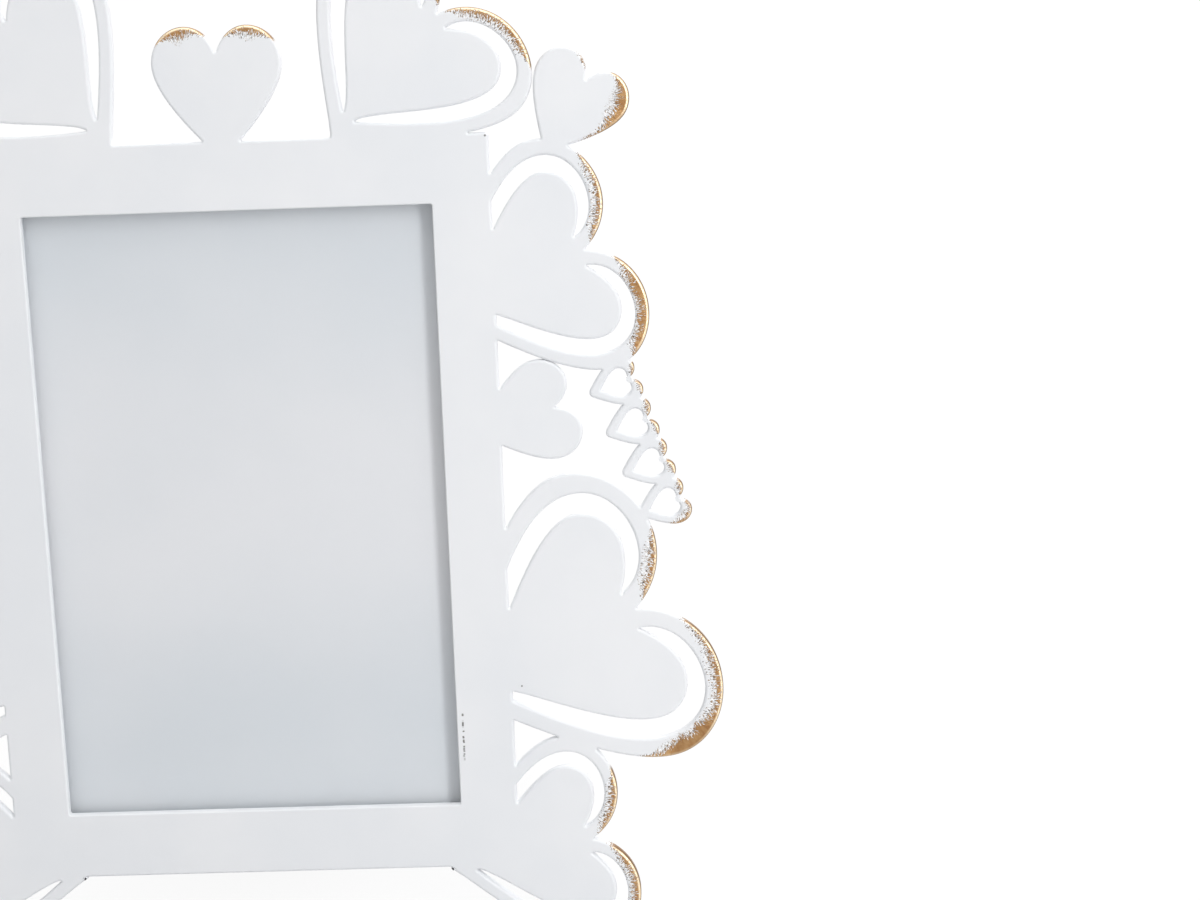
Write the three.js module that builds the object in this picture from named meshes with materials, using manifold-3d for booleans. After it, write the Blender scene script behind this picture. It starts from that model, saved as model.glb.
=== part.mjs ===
// A standing metal picture frame: a laser-cut steel plate of hearts, welded to a folded steel tray
// that holds glass, picture and back board, with an easel leg behind. Millimetres, +Z up.
// Everything but the leg is drawn upright in the plate's own frame and then leaned back together:
// x runs to the viewer's right, y from the front face to the back, z up along the plate.
import * as THREE from "three";
import { mergeVertices } from "three/addons/utils/BufferGeometryUtils.js";
import Module from "manifold-3d";

const wasm = await Module();
wasm.setup();

// The picture that the frame takes, and the front plate round it
const PICTURE_WIDTH = 102;
const PICTURE_HEIGHT = 152;
const WINDOW_LAP = 3;
const SIDE_BAND = 13.75;
const END_BAND = 16;
const PLATE_THICKNESS = 2.3;

// Hearts of the fretwork: width across the lobes and height from tip to crown
const LARGE_HEART = { width: 74.8, height: 61.7 };
const MIDDLE_HEART = { width: 56.6, height: 46.7 };
const FOOT_HEART = { width: 53.9, height: 44.4 };
const SMALL_HEART = { width: 24.2, height: 25 };
const CORNER_HEART = { width: 23.2, height: 23.8 };
const TOP_HEART = { width: 30, height: 31 };

// Where each heart's tip lies, from the outer edges of the band, and its lean to the side in degrees
const SHOULDER_PLACE = { inFromSide: 14.05, belowTop: 41.4, lean: 68.8 };
const SMALL_PLACE = { inFromSide: 6.75, belowTop: 70.4, lean: 73.4 };
const LARGE_PLACE = { inFromSide: 15.05, aboveBottom: 43.4, lean: 65.7 };
const FOOT_PLACE = { inFromSide: 17.15, aboveBottom: -0.5, lean: 79 };
const CORNER_PLACE = { inFromSide: -12.55, belowTop: 5.3, lean: 32.2 };
const CROWN_PLACE = { fromMiddle: 25.1, belowTop: 0.3, lean: 43.5 };
const TOP_PLACE = { belowTop: 5 };

// Row of small open hearts between the shoulder heart and the large heart
const ROW_COUNT = 4;
const ROW_HEIGHT = 13;
const ROW_LAP = 1.2;
const ROW_STROKE = 2.4;
const ROW_END_ACROSS = 20.5;

// Tray stack behind the plate
const GAP = 0.3;
const GLASS_THICKNESS = 2;
const INSERT_THICKNESS = 0.4;
const CARD_THICKNESS = 1.5;
const BOARD_THICKNESS = 3;
const PANEL_PLAY = 0.5;

// Folded rails
const RAIL_SHEET = 1;
const RAIL_INSET = 2.25;
const BEND_RADIUS = 1.5;

// Turn buttons and rivets
const BUTTON_THICKNESS = 1;
const BUTTON_WIDTH = 7.6;
const BUTTON_REACH = 15;
const BUTTON_END_DISTANCE = 34;
const RIVET_RADIUS = 1.2;
const RIVET_HEAD_RADIUS = 2.2;
const RIVET_HEAD_HEIGHT = 1;
const RIVET_SHOULDER_RADIUS = 1.75;
const RIVET_SHOULDER_HEIGHT = 0.65;
const RIVET_TAIL_RADIUS = 1.8;
const RIVET_TAIL_HEIGHT = 0.6;

// Easel leg and its hinge
const LEAN_ANGLE = 14;
const LEG_ANGLE = 32;
const LEG_THICKNESS = 3;
const LEG_TOP_WIDTH = 32;
const LEG_FOOT_WIDTH = 56;
const LEG_FOOT_ARCH = 5;
const FOLDED_LEG_GAP = 0.4;
const LEAF_SHEET = 0.8;
const WIRE_RADIUS = 1;
const PIN_HEAD_RADIUS = 1.8;
const PIN_HEAD_LENGTH = 1;
const LEAF_WIDTH = 28;
const FIXED_LEAF_LENGTH = 17;
const MOVING_LEAF_LENGTH = 24;
const MIDDLE_KNUCKLE = 12;
const RIVET_EDGE = 5;

// Hanger
const STRAP_WIDTH = 9;
const STRAP_LENGTH = 21;
const STRAP_RIVET_EDGE = 4;
const STRAP_BELOW_BAND_TOP = 19;
const STRAP_TO_LEAF = 3;
const RING_RADIUS = 8;
const RING_LEG = 4;

// Flat ground on the plate's two feet where they meet the table
const FOOT_FLAT_DEPTH = 0.4;

// Steps along each curve of an outline
const LARGE_STEPS = 18;
const SLOT_STEPS = 12;
const SMALL_STEPS = 12;
const ROW_STEPS = 8;
const ROUND_STEPS = 12;
const BEND_STEPS = 3;

// How far a cutter runs past what it cuts, and the size of a cutter that takes all on one side
const CUT_MARGIN = 1;
const CUTTER_SIZE = 1000;

const rad = THREE.MathUtils.degToRad;
const WINDOW_WIDTH = PICTURE_WIDTH - 2 * WINDOW_LAP;
const WINDOW_HEIGHT = PICTURE_HEIGHT - 2 * WINDOW_LAP;
const HALF_BAND_WIDTH = WINDOW_WIDTH / 2 + SIDE_BAND;
const BAND_HEIGHT = WINDOW_HEIGHT + 2 * END_BAND;
const RAIL_FLANGE = SIDE_BAND - WINDOW_LAP - PANEL_PLAY - RAIL_INSET;
const KNUCKLE_BORE = WIRE_RADIUS + GAP;
const KNUCKLE_RADIUS = KNUCKLE_BORE + LEAF_SHEET;

// Solids

function toSolid(geometry) {
  const plain = geometry.index ? geometry.toNonIndexed() : geometry.clone();
  plain.deleteAttribute("normal");
  plain.deleteAttribute("uv");
  const merged = mergeVertices(plain, 1e-4);
  return new wasm.Manifold(
    new wasm.Mesh({
      numProp: 3,
      vertProperties: merged.attributes.position.array,
      triVerts: new Uint32Array(merged.index.array),
    }),
  );
}

function toGeometry(solid) {
  const mesh = solid.getMesh();
  const geometry = new THREE.BufferGeometry();
  geometry.setAttribute("position", new THREE.BufferAttribute(mesh.vertProperties, 3));
  geometry.setIndex(new THREE.BufferAttribute(mesh.triVerts, 1));
  geometry.computeVertexNormals();
  return geometry;
}

const join = (solids) => solids.reduce((sum, solid) => sum.add(solid));
const cut = (solid, cutters) => cutters.reduce((left, cutter) => left.subtract(cutter), solid);

// A flat shape drawn in x and z, as thick as from front to back in y.
function sheet(shape, front, back, steps = SMALL_STEPS) {
  const geometry = new THREE.ExtrudeGeometry(shape, {
    depth: back - front,
    bevelEnabled: false,
    curveSegments: steps,
  });
  return toSolid(geometry.rotateX(Math.PI / 2).translate(0, back, 0));
}

// The same, as a cutter that passes right through what lies between front and back.
function punch(shape, front, back, steps) {
  return sheet(shape, front - CUT_MARGIN, back + CUT_MARGIN, steps);
}

function rectangle(left, right, bottom, top) {
  const shape = new THREE.Shape();
  shape.moveTo(left, bottom);
  shape.lineTo(right, bottom);
  shape.lineTo(right, top);
  shape.lineTo(left, top);
  shape.closePath();
  return shape;
}

function rod(radius, length, x, y, z) {
  const geometry = new THREE.CylinderGeometry(radius, radius, length, ROUND_STEPS);
  return toSolid(geometry.rotateZ(Math.PI / 2).translate(x, y, z));
}

// Everything more than drop below the x axis, turned round that axis by turn.
function below(drop, turn) {
  const box = new THREE.BoxGeometry(CUTTER_SIZE, CUTTER_SIZE, CUTTER_SIZE);
  return toSolid(box.translate(0, 0, -CUTTER_SIZE / 2 - drop).rotateX(turn));
}

// Hearts

// One half of the heart, drawn as two curves that meet at the widest point of the lobe. The
// drawing stands on its tip with its axis up and has the size of the large heart.
const DRAWING = { width: 74.8, height: 61.7, widestAt: 45.3, notchAt: 50 };
const RING_STROKE = 5.3;
const SLOT_WIDTH = 4.9;
const SLOT_BELOW_NOTCH = 1.8;
const OUTLINE_HALF = {
  start: [0, DRAWING.notchAt],
  startPull: [9.4, 20.6],
  halfWidth: DRAWING.width / 2,
  crownPull: 16.9,
  flankPull: 17.3,
  endPull: [0.5, 2.9],
  end: [0, 0],
};
const SLOT_OUTER_SIDE = {
  start: [4.6, DRAWING.notchAt - SLOT_BELOW_NOTCH],
  startPull: [3, 13.4],
  halfWidth: DRAWING.width / 2 - RING_STROKE,
  crownPull: 15.6,
  flankPull: 8.9,
  endPull: [21.7, 17.1],
  end: [2, 8.6],
};
const SLOT_INNER_SIDE = {
  start: SLOT_OUTER_SIDE.start,
  startPull: [13.2, 11.4],
  halfWidth: SLOT_OUTER_SIDE.halfWidth - SLOT_WIDTH,
  crownPull: 6.6,
  flankPull: 12.2,
  endPull: [2.1, 7.2],
  end: SLOT_OUTER_SIDE.end,
};

// The seven control points of one side, from its start by the notch to its end by the tip.
function sidePoints(side) {
  const [startX, startY] = side.start;
  const [endX, endY] = side.end;
  return [
    [startX, startY],
    [startX + side.startPull[0], startY + side.startPull[1]],
    [side.halfWidth, DRAWING.widestAt + side.crownPull],
    [side.halfWidth, DRAWING.widestAt],
    [side.halfWidth, DRAWING.widestAt - side.flankPull],
    [endX + side.endPull[0], endY + side.endPull[1]],
    [endX, endY],
  ];
}

// Carries a point of the drawing to the plate: sized, mirrored if hand is -1, leaned and moved.
function placer(size, place) {
  const lean = rad(place.lean);
  return (x, y, hand = 1) => {
    const across = (hand * x * size.width) / DRAWING.width;
    const along = (y * size.height) / DRAWING.height;
    return new THREE.Vector2(
      place.x + across * Math.cos(lean) + along * Math.sin(lean),
      place.z - across * Math.sin(lean) + along * Math.cos(lean),
    );
  };
}

function drawCurves(shape, points) {
  for (let i = 1; i < points.length; i += 3) {
    const [a, b, c] = points.slice(i, i + 3);
    shape.bezierCurveTo(a.x, a.y, b.x, b.y, c.x, c.y);
  }
}

function heartShape(size, place) {
  const put = placer(size, place);
  const half = sidePoints(OUTLINE_HALF);
  const right = half.map(([x, y]) => put(x, y));
  const left = half.map(([x, y]) => put(x, y, -1)).reverse();
  const shape = new THREE.Shape();
  shape.moveTo(left[0].x, left[0].y);
  drawCurves(shape, left);
  drawCurves(shape, right);
  return shape;
}

// The crescent slot inside one lobe of a ring heart.
function slotShape(size, place, hand) {
  const put = placer(size, place);
  const outer = sidePoints(SLOT_OUTER_SIDE).map(([x, y]) => put(x, y, hand));
  const inner = sidePoints(SLOT_INNER_SIDE).map(([x, y]) => put(x, y, hand)).reverse();
  const shape = new THREE.Shape();
  shape.moveTo(outer[0].x, outer[0].y);
  drawCurves(shape, outer);
  drawCurves(shape, inner);
  return shape;
}

// A place on the right of the plate, and its mirror image on the left.
const sideOf = (place, side) => ({ x: side * place.x, z: place.z, lean: side * place.lean });

const fromTop = ({ inFromSide, belowTop, lean }) => ({
  x: HALF_BAND_WIDTH - inFromSide,
  z: BAND_HEIGHT - belowTop,
  lean,
});

const fromBottom = ({ inFromSide, aboveBottom, lean }) => ({
  x: HALF_BAND_WIDTH - inFromSide,
  z: aboveBottom,
  lean,
});

const shoulder = fromTop(SHOULDER_PLACE);
const large = fromBottom(LARGE_PLACE);
const foot = fromBottom(FOOT_PLACE);
const crown = {
  x: CROWN_PLACE.fromMiddle,
  z: BAND_HEIGHT - CROWN_PLACE.belowTop,
  lean: CROWN_PLACE.lean,
};
const ringHearts = [
  [MIDDLE_HEART, shoulder],
  [LARGE_HEART, large],
  [FOOT_HEART, foot],
  [MIDDLE_HEART, crown],
];
const solidHearts = [
  [SMALL_HEART, fromTop(SMALL_PLACE)],
  [CORNER_HEART, fromTop(CORNER_PLACE)],
];

// The row of small open hearts starts on the widest point of the shoulder heart's lower lobe and
// ends with its last tip in the crown of the large heart's upper lobe, each inside the stroke.
// The hole's tip is raised by one and a half strokes, which keeps the stroke even round the tip.
function rowOfHearts() {
  const startAcross = DRAWING.width / 2 - RING_STROKE / 2;
  const first = placer(MIDDLE_HEART, shoulder)(startAcross, DRAWING.widestAt);
  const last = placer(LARGE_HEART, large)(ROW_END_ACROSS, DRAWING.height - RING_STROKE / 3, -1);
  const reach = (ROW_HEIGHT * DRAWING.widestAt) / DRAWING.height;
  const span = last.clone().sub(first);
  const run = Math.sqrt(span.lengthSq() - reach * reach);
  const pitch = (run - ROW_LAP / 2) / (ROW_COUNT - 0.5);
  const size = { width: pitch + ROW_LAP, height: ROW_HEIGHT };
  const slope = Math.atan2(span.x, -span.y) + Math.atan2(reach, run);
  const down = new THREE.Vector2(Math.sin(slope), -Math.cos(slope));
  const lean = 90 - THREE.MathUtils.radToDeg(slope);
  const tipRise = 1.5 * ROW_STROKE;
  const holeSize = {
    width: size.width - 2 * ROW_STROKE,
    height: ROW_HEIGHT - ROW_STROKE - tipRise,
  };
  return Array.from({ length: ROW_COUNT }, (_, i) => {
    const tip = last.clone().addScaledVector(down, (i + 1 - ROW_COUNT) * pitch);
    const place = { x: tip.x, z: tip.y, lean };
    const holeTip = placer(size, place)(0, (tipRise * DRAWING.height) / ROW_HEIGHT);
    return { size, place, holeSize, holePlace: { x: holeTip.x, z: holeTip.y, lean } };
  });
}

// Heights in the plate's frame start at the bottom edge of the band. The table lies below it,
// under the lowest point of the foot hearts, less the flat that is ground on them.
function lowestFootPoint() {
  const points = heartShape(FOOT_HEART, foot).getPoints(LARGE_STEPS);
  return Math.min(...points.map((point) => point.y));
}
const lean = rad(LEAN_ANGLE);
const TABLE_DROP =
  PLATE_THICKNESS * Math.sin(lean) - lowestFootPoint() * Math.cos(lean) - FOOT_FLAT_DEPTH;

function frontPlate() {
  const front = 0;
  const back = PLATE_THICKNESS;
  const band = rectangle(-HALF_BAND_WIDTH, HALF_BAND_WIDTH, 0, BAND_HEIGHT);
  const window = rectangle(-WINDOW_WIDTH / 2, WINDOW_WIDTH / 2, END_BAND, BAND_HEIGHT - END_BAND);
  const solids = [sheet(band, front, back)];
  const slots = [];
  const holes = [punch(window, front, back), below(TABLE_DROP, lean)];
  for (const side of [1, -1]) {
    for (const [size, place] of ringHearts) {
      const here = sideOf(place, side);
      solids.push(sheet(heartShape(size, here), front, back, LARGE_STEPS));
      for (const hand of [1, -1]) {
        slots.push(punch(slotShape(size, here, hand), front, back, SLOT_STEPS));
      }
    }
    for (const [size, place] of solidHearts) {
      solids.push(sheet(heartShape(size, sideOf(place, side)), front, back));
    }
    for (const open of rowOfHearts()) {
      solids.push(sheet(heartShape(open.size, sideOf(open.place, side)), front, back, ROW_STEPS));
      const hole = heartShape(open.holeSize, sideOf(open.holePlace, side));
      holes.push(punch(hole, front, back, ROW_STEPS));
    }
  }
  const top = { x: 0, z: BAND_HEIGHT - TOP_PLACE.belowTop, lean: 0 };
  solids.push(sheet(heartShape(TOP_HEART, top), front, back));
  const overBand = punch(band, front - CUT_MARGIN, back + CUT_MARGIN);
  return cut(join(solids), [join(slots).subtract(overBand), ...holes]);
}

// Tray

const GLASS_FRONT = PLATE_THICKNESS + GAP;
const INSERT_FRONT = GLASS_FRONT + GLASS_THICKNESS + GAP;
const CARD_FRONT = INSERT_FRONT + INSERT_THICKNESS + GAP;
const BOARD_FRONT = CARD_FRONT + CARD_THICKNESS + GAP;
const BOARD_BACK = BOARD_FRONT + BOARD_THICKNESS;
const BUTTON_FRONT = BOARD_BACK + GAP;
const MIDDLE_HEIGHT = BAND_HEIGHT / 2;

// A panel of the picture's size, centred behind the window.
function panel(front, thickness) {
  const halfWidth = PICTURE_WIDTH / 2;
  const halfHeight = PICTURE_HEIGHT / 2;
  const outline = rectangle(-halfWidth, halfWidth, MIDDLE_HEIGHT - halfHeight, MIDDLE_HEIGHT + halfHeight);
  return sheet(outline, front, front + thickness);
}

// The rail is a channel open to the outside: a flange welded to the plate, a web that walls the
// tray, and a rear flange. Its section is drawn outwards from the tray's wall, front to back.
function railSection() {
  const front = PLATE_THICKNESS + GAP;
  const back = BOARD_BACK;
  const inner = BEND_RADIUS - RAIL_SHEET;
  const section = new THREE.Shape();
  section.moveTo(RAIL_FLANGE, front);
  section.lineTo(RAIL_FLANGE, front + RAIL_SHEET);
  section.lineTo(BEND_RADIUS, front + RAIL_SHEET);
  section.absarc(BEND_RADIUS, front + BEND_RADIUS, inner, -Math.PI / 2, -Math.PI, true);
  section.lineTo(RAIL_SHEET, back - BEND_RADIUS);
  section.absarc(BEND_RADIUS, back - BEND_RADIUS, inner, Math.PI, Math.PI / 2, true);
  section.lineTo(RAIL_FLANGE, back - RAIL_SHEET);
  section.lineTo(RAIL_FLANGE, back);
  section.lineTo(BEND_RADIUS, back);
  section.absarc(BEND_RADIUS, back - BEND_RADIUS, BEND_RADIUS, Math.PI / 2, Math.PI, false);
  section.lineTo(0, front + BEND_RADIUS);
  section.absarc(BEND_RADIUS, front + BEND_RADIUS, BEND_RADIUS, Math.PI, 1.5 * Math.PI, false);
  section.closePath();
  return section;
}

// A rail along x below the tray, with mitred ends. offset is the tray wall's distance from the
// middle of the window, halfLength the distance of the neighbouring walls.
function rail(offset, halfLength) {
  const geometry = new THREE.ExtrudeGeometry(railSection(), {
    depth: 1,
    bevelEnabled: false,
    curveSegments: BEND_STEPS,
  });
  const points = geometry.attributes.position;
  for (let i = 0; i < points.count; i += 1) {
    const outwards = points.getX(i);
    const depth = points.getY(i);
    const end = points.getZ(i) > 0.5 ? 1 : -1;
    const mitre = halfLength + outwards - GAP / 2;
    points.setXYZ(i, end * mitre, depth, -offset - outwards);
  }
  return geometry;
}

const WALL_X = PICTURE_WIDTH / 2 + PANEL_PLAY;
const WALL_Z = PICTURE_HEIGHT / 2 + PANEL_PLAY;
const BUTTON_X = WALL_X + RAIL_FLANGE / 2 + RAIL_SHEET / 2;

// Rivets, leaves and buttons. Each is drawn round the y axis, or round a pin along x.

// A rivet whose domed head stands behind headSeat. Its tail ends flush at tailEnd, or is spread
// to a flat disc of tailRadius there.
function rivet(headSeat, tailEnd, tailRadius = 0) {
  const tail = [[RIVET_RADIUS, tailEnd]];
  const disc = [
    [tailRadius, tailEnd],
    [tailRadius, tailEnd + RIVET_TAIL_HEIGHT],
    [RIVET_RADIUS, tailEnd + RIVET_TAIL_HEIGHT],
  ];
  const profile = [
    [0, tailEnd],
    ...(tailRadius > RIVET_RADIUS ? disc : tail),
    [RIVET_RADIUS, headSeat],
    [RIVET_HEAD_RADIUS, headSeat],
    [RIVET_SHOULDER_RADIUS, headSeat + RIVET_SHOULDER_HEIGHT],
    [0, headSeat + RIVET_HEAD_HEIGHT],
  ];
  const points = profile.map(([radius, y]) => new THREE.Vector2(radius, y));
  return toSolid(new THREE.LatheGeometry(points, ROUND_STEPS));
}

function hole(x, z, front, back) {
  const shape = new THREE.Shape();
  shape.absarc(x, z, RIVET_RADIUS + GAP / 2, 0, 2 * Math.PI, false);
  return punch(shape, front, back);
}

// A tab that turns on its rivet, with its long arm towards -x.
function turnButton() {
  const half = BUTTON_WIDTH / 2;
  const back = BUTTON_FRONT + BUTTON_THICKNESS;
  const shape = new THREE.Shape();
  shape.absarc(0, 0, half, -Math.PI / 2, Math.PI / 2, false);
  shape.absarc(-BUTTON_REACH + half, 0, half, Math.PI / 2, 1.5 * Math.PI, false);
  shape.closePath();
  return sheet(shape, BUTTON_FRONT, back).subtract(hole(0, 0, BUTTON_FRONT, back));
}

// A knuckle rolled round the pin, from x to x + width.
function knuckle(x, width) {
  const middle = x + width / 2;
  const bore = rod(KNUCKLE_BORE, width + 2 * CUT_MARGIN, middle, 0, 0);
  return rod(KNUCKLE_RADIUS, width, middle, 0, 0).subtract(bore);
}

function leafPlate(left, right, bottom, top, front) {
  return sheet(rectangle(left, right, bottom, top), front, front + LEAF_SHEET);
}

// Depths from the pin. The leg is drawn hanging down from it, and the leaf on the leg runs off the
// back of its knuckle. Folded, the leg lies FOLDED_LEG_GAP off the back board.
const MOVING_LEAF_FRONT = KNUCKLE_RADIUS - LEAF_SHEET;
const LEG_BACK = MOVING_LEAF_FRONT - GAP;
const LEG_FRONT = LEG_BACK - LEG_THICKNESS;
const PIN_DEPTH = BOARD_BACK + FOLDED_LEG_GAP - LEG_FRONT;
const BOARD_LEAF_FRONT = BOARD_BACK + GAP - PIN_DEPTH;
const BOARD_LEAF_BACK = BOARD_LEAF_FRONT + LEAF_SHEET;

// The leaf on the back board stands above the pin and has the two outer knuckles.
function fixedLeaf() {
  const half = LEAF_WIDTH / 2;
  const side = half - MIDDLE_KNUCKLE / 2 - GAP;
  const bore = rod(KNUCKLE_BORE, LEAF_WIDTH + 2 * CUT_MARGIN, 0, 0, 0);
  const armTop = KNUCKLE_RADIUS + GAP + LEAF_SHEET;
  const solids = [leafPlate(-half, half, KNUCKLE_RADIUS + GAP, FIXED_LEAF_LENGTH, BOARD_LEAF_FRONT)];
  for (const x of [-half, half - side]) {
    solids.push(leafPlate(x, x + side, 0, armTop, BOARD_LEAF_FRONT), knuckle(x, side));
  }
  const holes = fixedRivets().map(({ x, z }) => hole(x, z, BOARD_LEAF_FRONT, BOARD_LEAF_BACK));
  return cut(join(solids), [bore, ...holes]);
}

const fixedRivets = () =>
  [-1, 1].map((side) => ({
    x: side * (LEAF_WIDTH / 2 - RIVET_EDGE),
    z: FIXED_LEAF_LENGTH - RIVET_EDGE,
  }));

// The heel runs on past the pin and stops against the fixed leaf when the leg stands open.
function movingLeaf() {
  const open = rad(LEG_ANGLE);
  const heel = (MOVING_LEAF_FRONT * Math.cos(open) - BOARD_LEAF_BACK - GAP) / Math.sin(open);
  const half = MIDDLE_KNUCKLE / 2;
  const bore = rod(KNUCKLE_BORE, LEAF_WIDTH, 0, 0, 0);
  const plate = leafPlate(-half, half, -MOVING_LEAF_LENGTH, heel, MOVING_LEAF_FRONT);
  const holes = movingRivets().map(({ x, z }) => hole(x, z, MOVING_LEAF_FRONT, KNUCKLE_RADIUS));
  return cut(join([plate, knuckle(-half, MIDDLE_KNUCKLE)]), [bore, ...holes]);
}

const movingRivets = () =>
  [RIVET_EDGE + KNUCKLE_RADIUS, MOVING_LEAF_LENGTH - RIVET_EDGE].map((down) => ({ x: 0, z: -down }));

function hingePin() {
  const length = LEAF_WIDTH + 2 * GAP;
  const head = rod(PIN_HEAD_RADIUS, PIN_HEAD_LENGTH, -(length + PIN_HEAD_LENGTH) / 2, 0, 0);
  return rod(WIRE_RADIUS, length, 0, 0, 0).add(head);
}

// Heights of the hanger's bar and of the hinge pin on the back board, and the leg's length
const HANGER_HEIGHT = BAND_HEIGHT - STRAP_BELOW_BAND_TOP;
const PIN_HEIGHT = HANGER_HEIGHT - STRAP_LENGTH - STRAP_TO_LEAF - FIXED_LEAF_LENGTH;
const PIN_ABOVE_TABLE = TABLE_DROP + PIN_HEIGHT * Math.cos(lean) - PIN_DEPTH * Math.sin(lean);
const LEG_LENGTH = PIN_ABOVE_TABLE / Math.cos(rad(LEG_ANGLE - LEAN_ANGLE));

function easelLeg() {
  const topHalf = LEG_TOP_WIDTH / 2;
  const footHalf = LEG_FOOT_WIDTH / 2;
  const archHalf = footHalf / 2;
  const top = -KNUCKLE_RADIUS - 2 * GAP;
  const bottom = -LEG_LENGTH;
  const uncut = bottom - 2 * LEG_THICKNESS;
  const shape = new THREE.Shape();
  shape.moveTo(-topHalf, top);
  shape.quadraticCurveTo(-topHalf, bottom / 2, -footHalf, uncut);
  shape.lineTo(footHalf, uncut);
  shape.quadraticCurveTo(topHalf, bottom / 2, topHalf, top);
  shape.closePath();
  const arch = new THREE.Shape();
  arch.moveTo(-archHalf, uncut - CUT_MARGIN);
  arch.lineTo(archHalf, uncut - CUT_MARGIN);
  arch.lineTo(archHalf, bottom);
  arch.quadraticCurveTo(0, bottom + 2 * LEG_FOOT_ARCH, -archHalf, bottom);
  arch.closePath();
  const holes = movingRivets().map(({ x, z }) => hole(x, z, LEG_FRONT, LEG_BACK));
  const leg = sheet(shape, LEG_FRONT, LEG_BACK, SLOT_STEPS);
  const table = below(PIN_ABOVE_TABLE, rad(LEAN_ANGLE - LEG_ANGLE));
  return cut(leg, [punch(arch, LEG_FRONT, LEG_BACK), ...holes, table]);
}

// Hanger: a strap riveted to the back board, rolled at its top round the ring's straight bar.

const strapRivets = () =>
  [RIVET_EDGE + KNUCKLE_RADIUS, STRAP_LENGTH - STRAP_RIVET_EDGE].map((down) => ({ x: 0, z: -down }));

function hangerStrap() {
  const half = STRAP_WIDTH / 2;
  const bore = rod(KNUCKLE_BORE, STRAP_WIDTH + 2 * CUT_MARGIN, 0, 0, 0);
  const plate = leafPlate(-half, half, -STRAP_LENGTH, 0, BOARD_LEAF_FRONT);
  const holes = strapRivets().map(({ x, z }) => hole(x, z, BOARD_LEAF_FRONT, BOARD_LEAF_BACK));
  return cut(join([plate, knuckle(-half, STRAP_WIDTH)]), [bore, ...holes]);
}

// The ring hangs from its bar: two legs and a half circle under them, all of one round wire.
function hangerRing() {
  const wire = WIRE_RADIUS;
  const overlap = wire / 5;
  const torus = new THREE.TorusGeometry(RING_RADIUS, wire, ROUND_STEPS, 2 * ROUND_STEPS);
  torus.rotateX(Math.PI / 2).translate(0, 0, -RING_LEG);
  const parts = [toSolid(torus).intersect(below(RING_LEG, 0)), rod(wire, 2 * RING_RADIUS, 0, 0, 0)];
  for (const side of [-1, 1]) {
    const leg = new THREE.CylinderGeometry(wire, wire, RING_LEG + overlap, ROUND_STEPS);
    leg.rotateX(Math.PI / 2).translate(side * RING_RADIUS, 0, -(RING_LEG + overlap) / 2);
    const corner = new THREE.SphereGeometry(wire, ROUND_STEPS, ROUND_STEPS / 2);
    parts.push(toSolid(leg), toSolid(corner.translate(side * RING_RADIUS, 0, 0)));
  }
  return join(parts);
}

// Materials

const paint = new THREE.MeshStandardMaterial({ color: "#eceef0", roughness: 0.45, metalness: 0 });
const glass = new THREE.MeshStandardMaterial({
  color: "#eef4f6",
  roughness: 0.05,
  metalness: 0,
  transparent: true,
  opacity: 0.3,
});
const insertPaper = new THREE.MeshStandardMaterial({ color: "#d9dde1", roughness: 0.8, metalness: 0 });
const greyCard = new THREE.MeshStandardMaterial({ color: "#b9b2a4", roughness: 0.95, metalness: 0 });
const flockedBoard = new THREE.MeshStandardMaterial({ color: "#26262a", roughness: 0.95, metalness: 0 });
const zincSteel = new THREE.MeshStandardMaterial({ color: "#b8babd", roughness: 0.35, metalness: 1 });

// Assembly

function meshOf(name, shape, material) {
  const geometry = shape.isBufferGeometry ? shape : toGeometry(shape);
  const mesh = new THREE.Mesh(geometry, material);
  mesh.name = name;
  return mesh;
}

function addAt(parent, mesh, x, y, z) {
  mesh.position.set(x, y, z);
  parent.add(mesh);
  return mesh;
}

const upright = new THREE.Group();
upright.rotation.x = -lean;
upright.position.z = TABLE_DROP;

upright.add(meshOf("front_plate", frontPlate(), paint));
upright.add(meshOf("glass_pane", panel(GLASS_FRONT, GLASS_THICKNESS), glass));
upright.add(meshOf("blank_insert", panel(INSERT_FRONT, INSERT_THICKNESS), insertPaper));
upright.add(meshOf("filler_card", panel(CARD_FRONT, CARD_THICKNESS), greyCard));

const boardHoles = [
  ...fixedRivets().map(({ x, z }) => hole(x, PIN_HEIGHT + z, BOARD_FRONT, BOARD_BACK)),
  ...strapRivets().map(({ x, z }) => hole(x, HANGER_HEIGHT + z, BOARD_FRONT, BOARD_BACK)),
];
upright.add(meshOf("back_board", cut(panel(BOARD_FRONT, BOARD_THICKNESS), boardHoles), flockedBoard));

// The lower and upper rails run along x, the side rails are the same rail turned a quarter.
for (const [name, turn, offset, halfLength] of [
  ["rail_bottom", 0, WALL_Z, WALL_X],
  ["rail_top", 180, WALL_Z, WALL_X],
  ["rail_right", 90, WALL_X, WALL_Z],
  ["rail_left", -90, WALL_X, WALL_Z],
]) {
  let solid = toSolid(rail(offset, halfLength));
  if (name === "rail_right" || name === "rail_left") {
    for (const side of [-1, 1]) {
      const along = side * (WALL_Z - BUTTON_END_DISTANCE);
      solid = solid.subtract(hole(along, -BUTTON_X, BOARD_BACK - RAIL_SHEET, BOARD_BACK));
    }
  }
  const mesh = meshOf(name, solid, paint);
  mesh.rotation.y = rad(-turn);
  addAt(upright, mesh, 0, 0, MIDDLE_HEIGHT);
}

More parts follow.
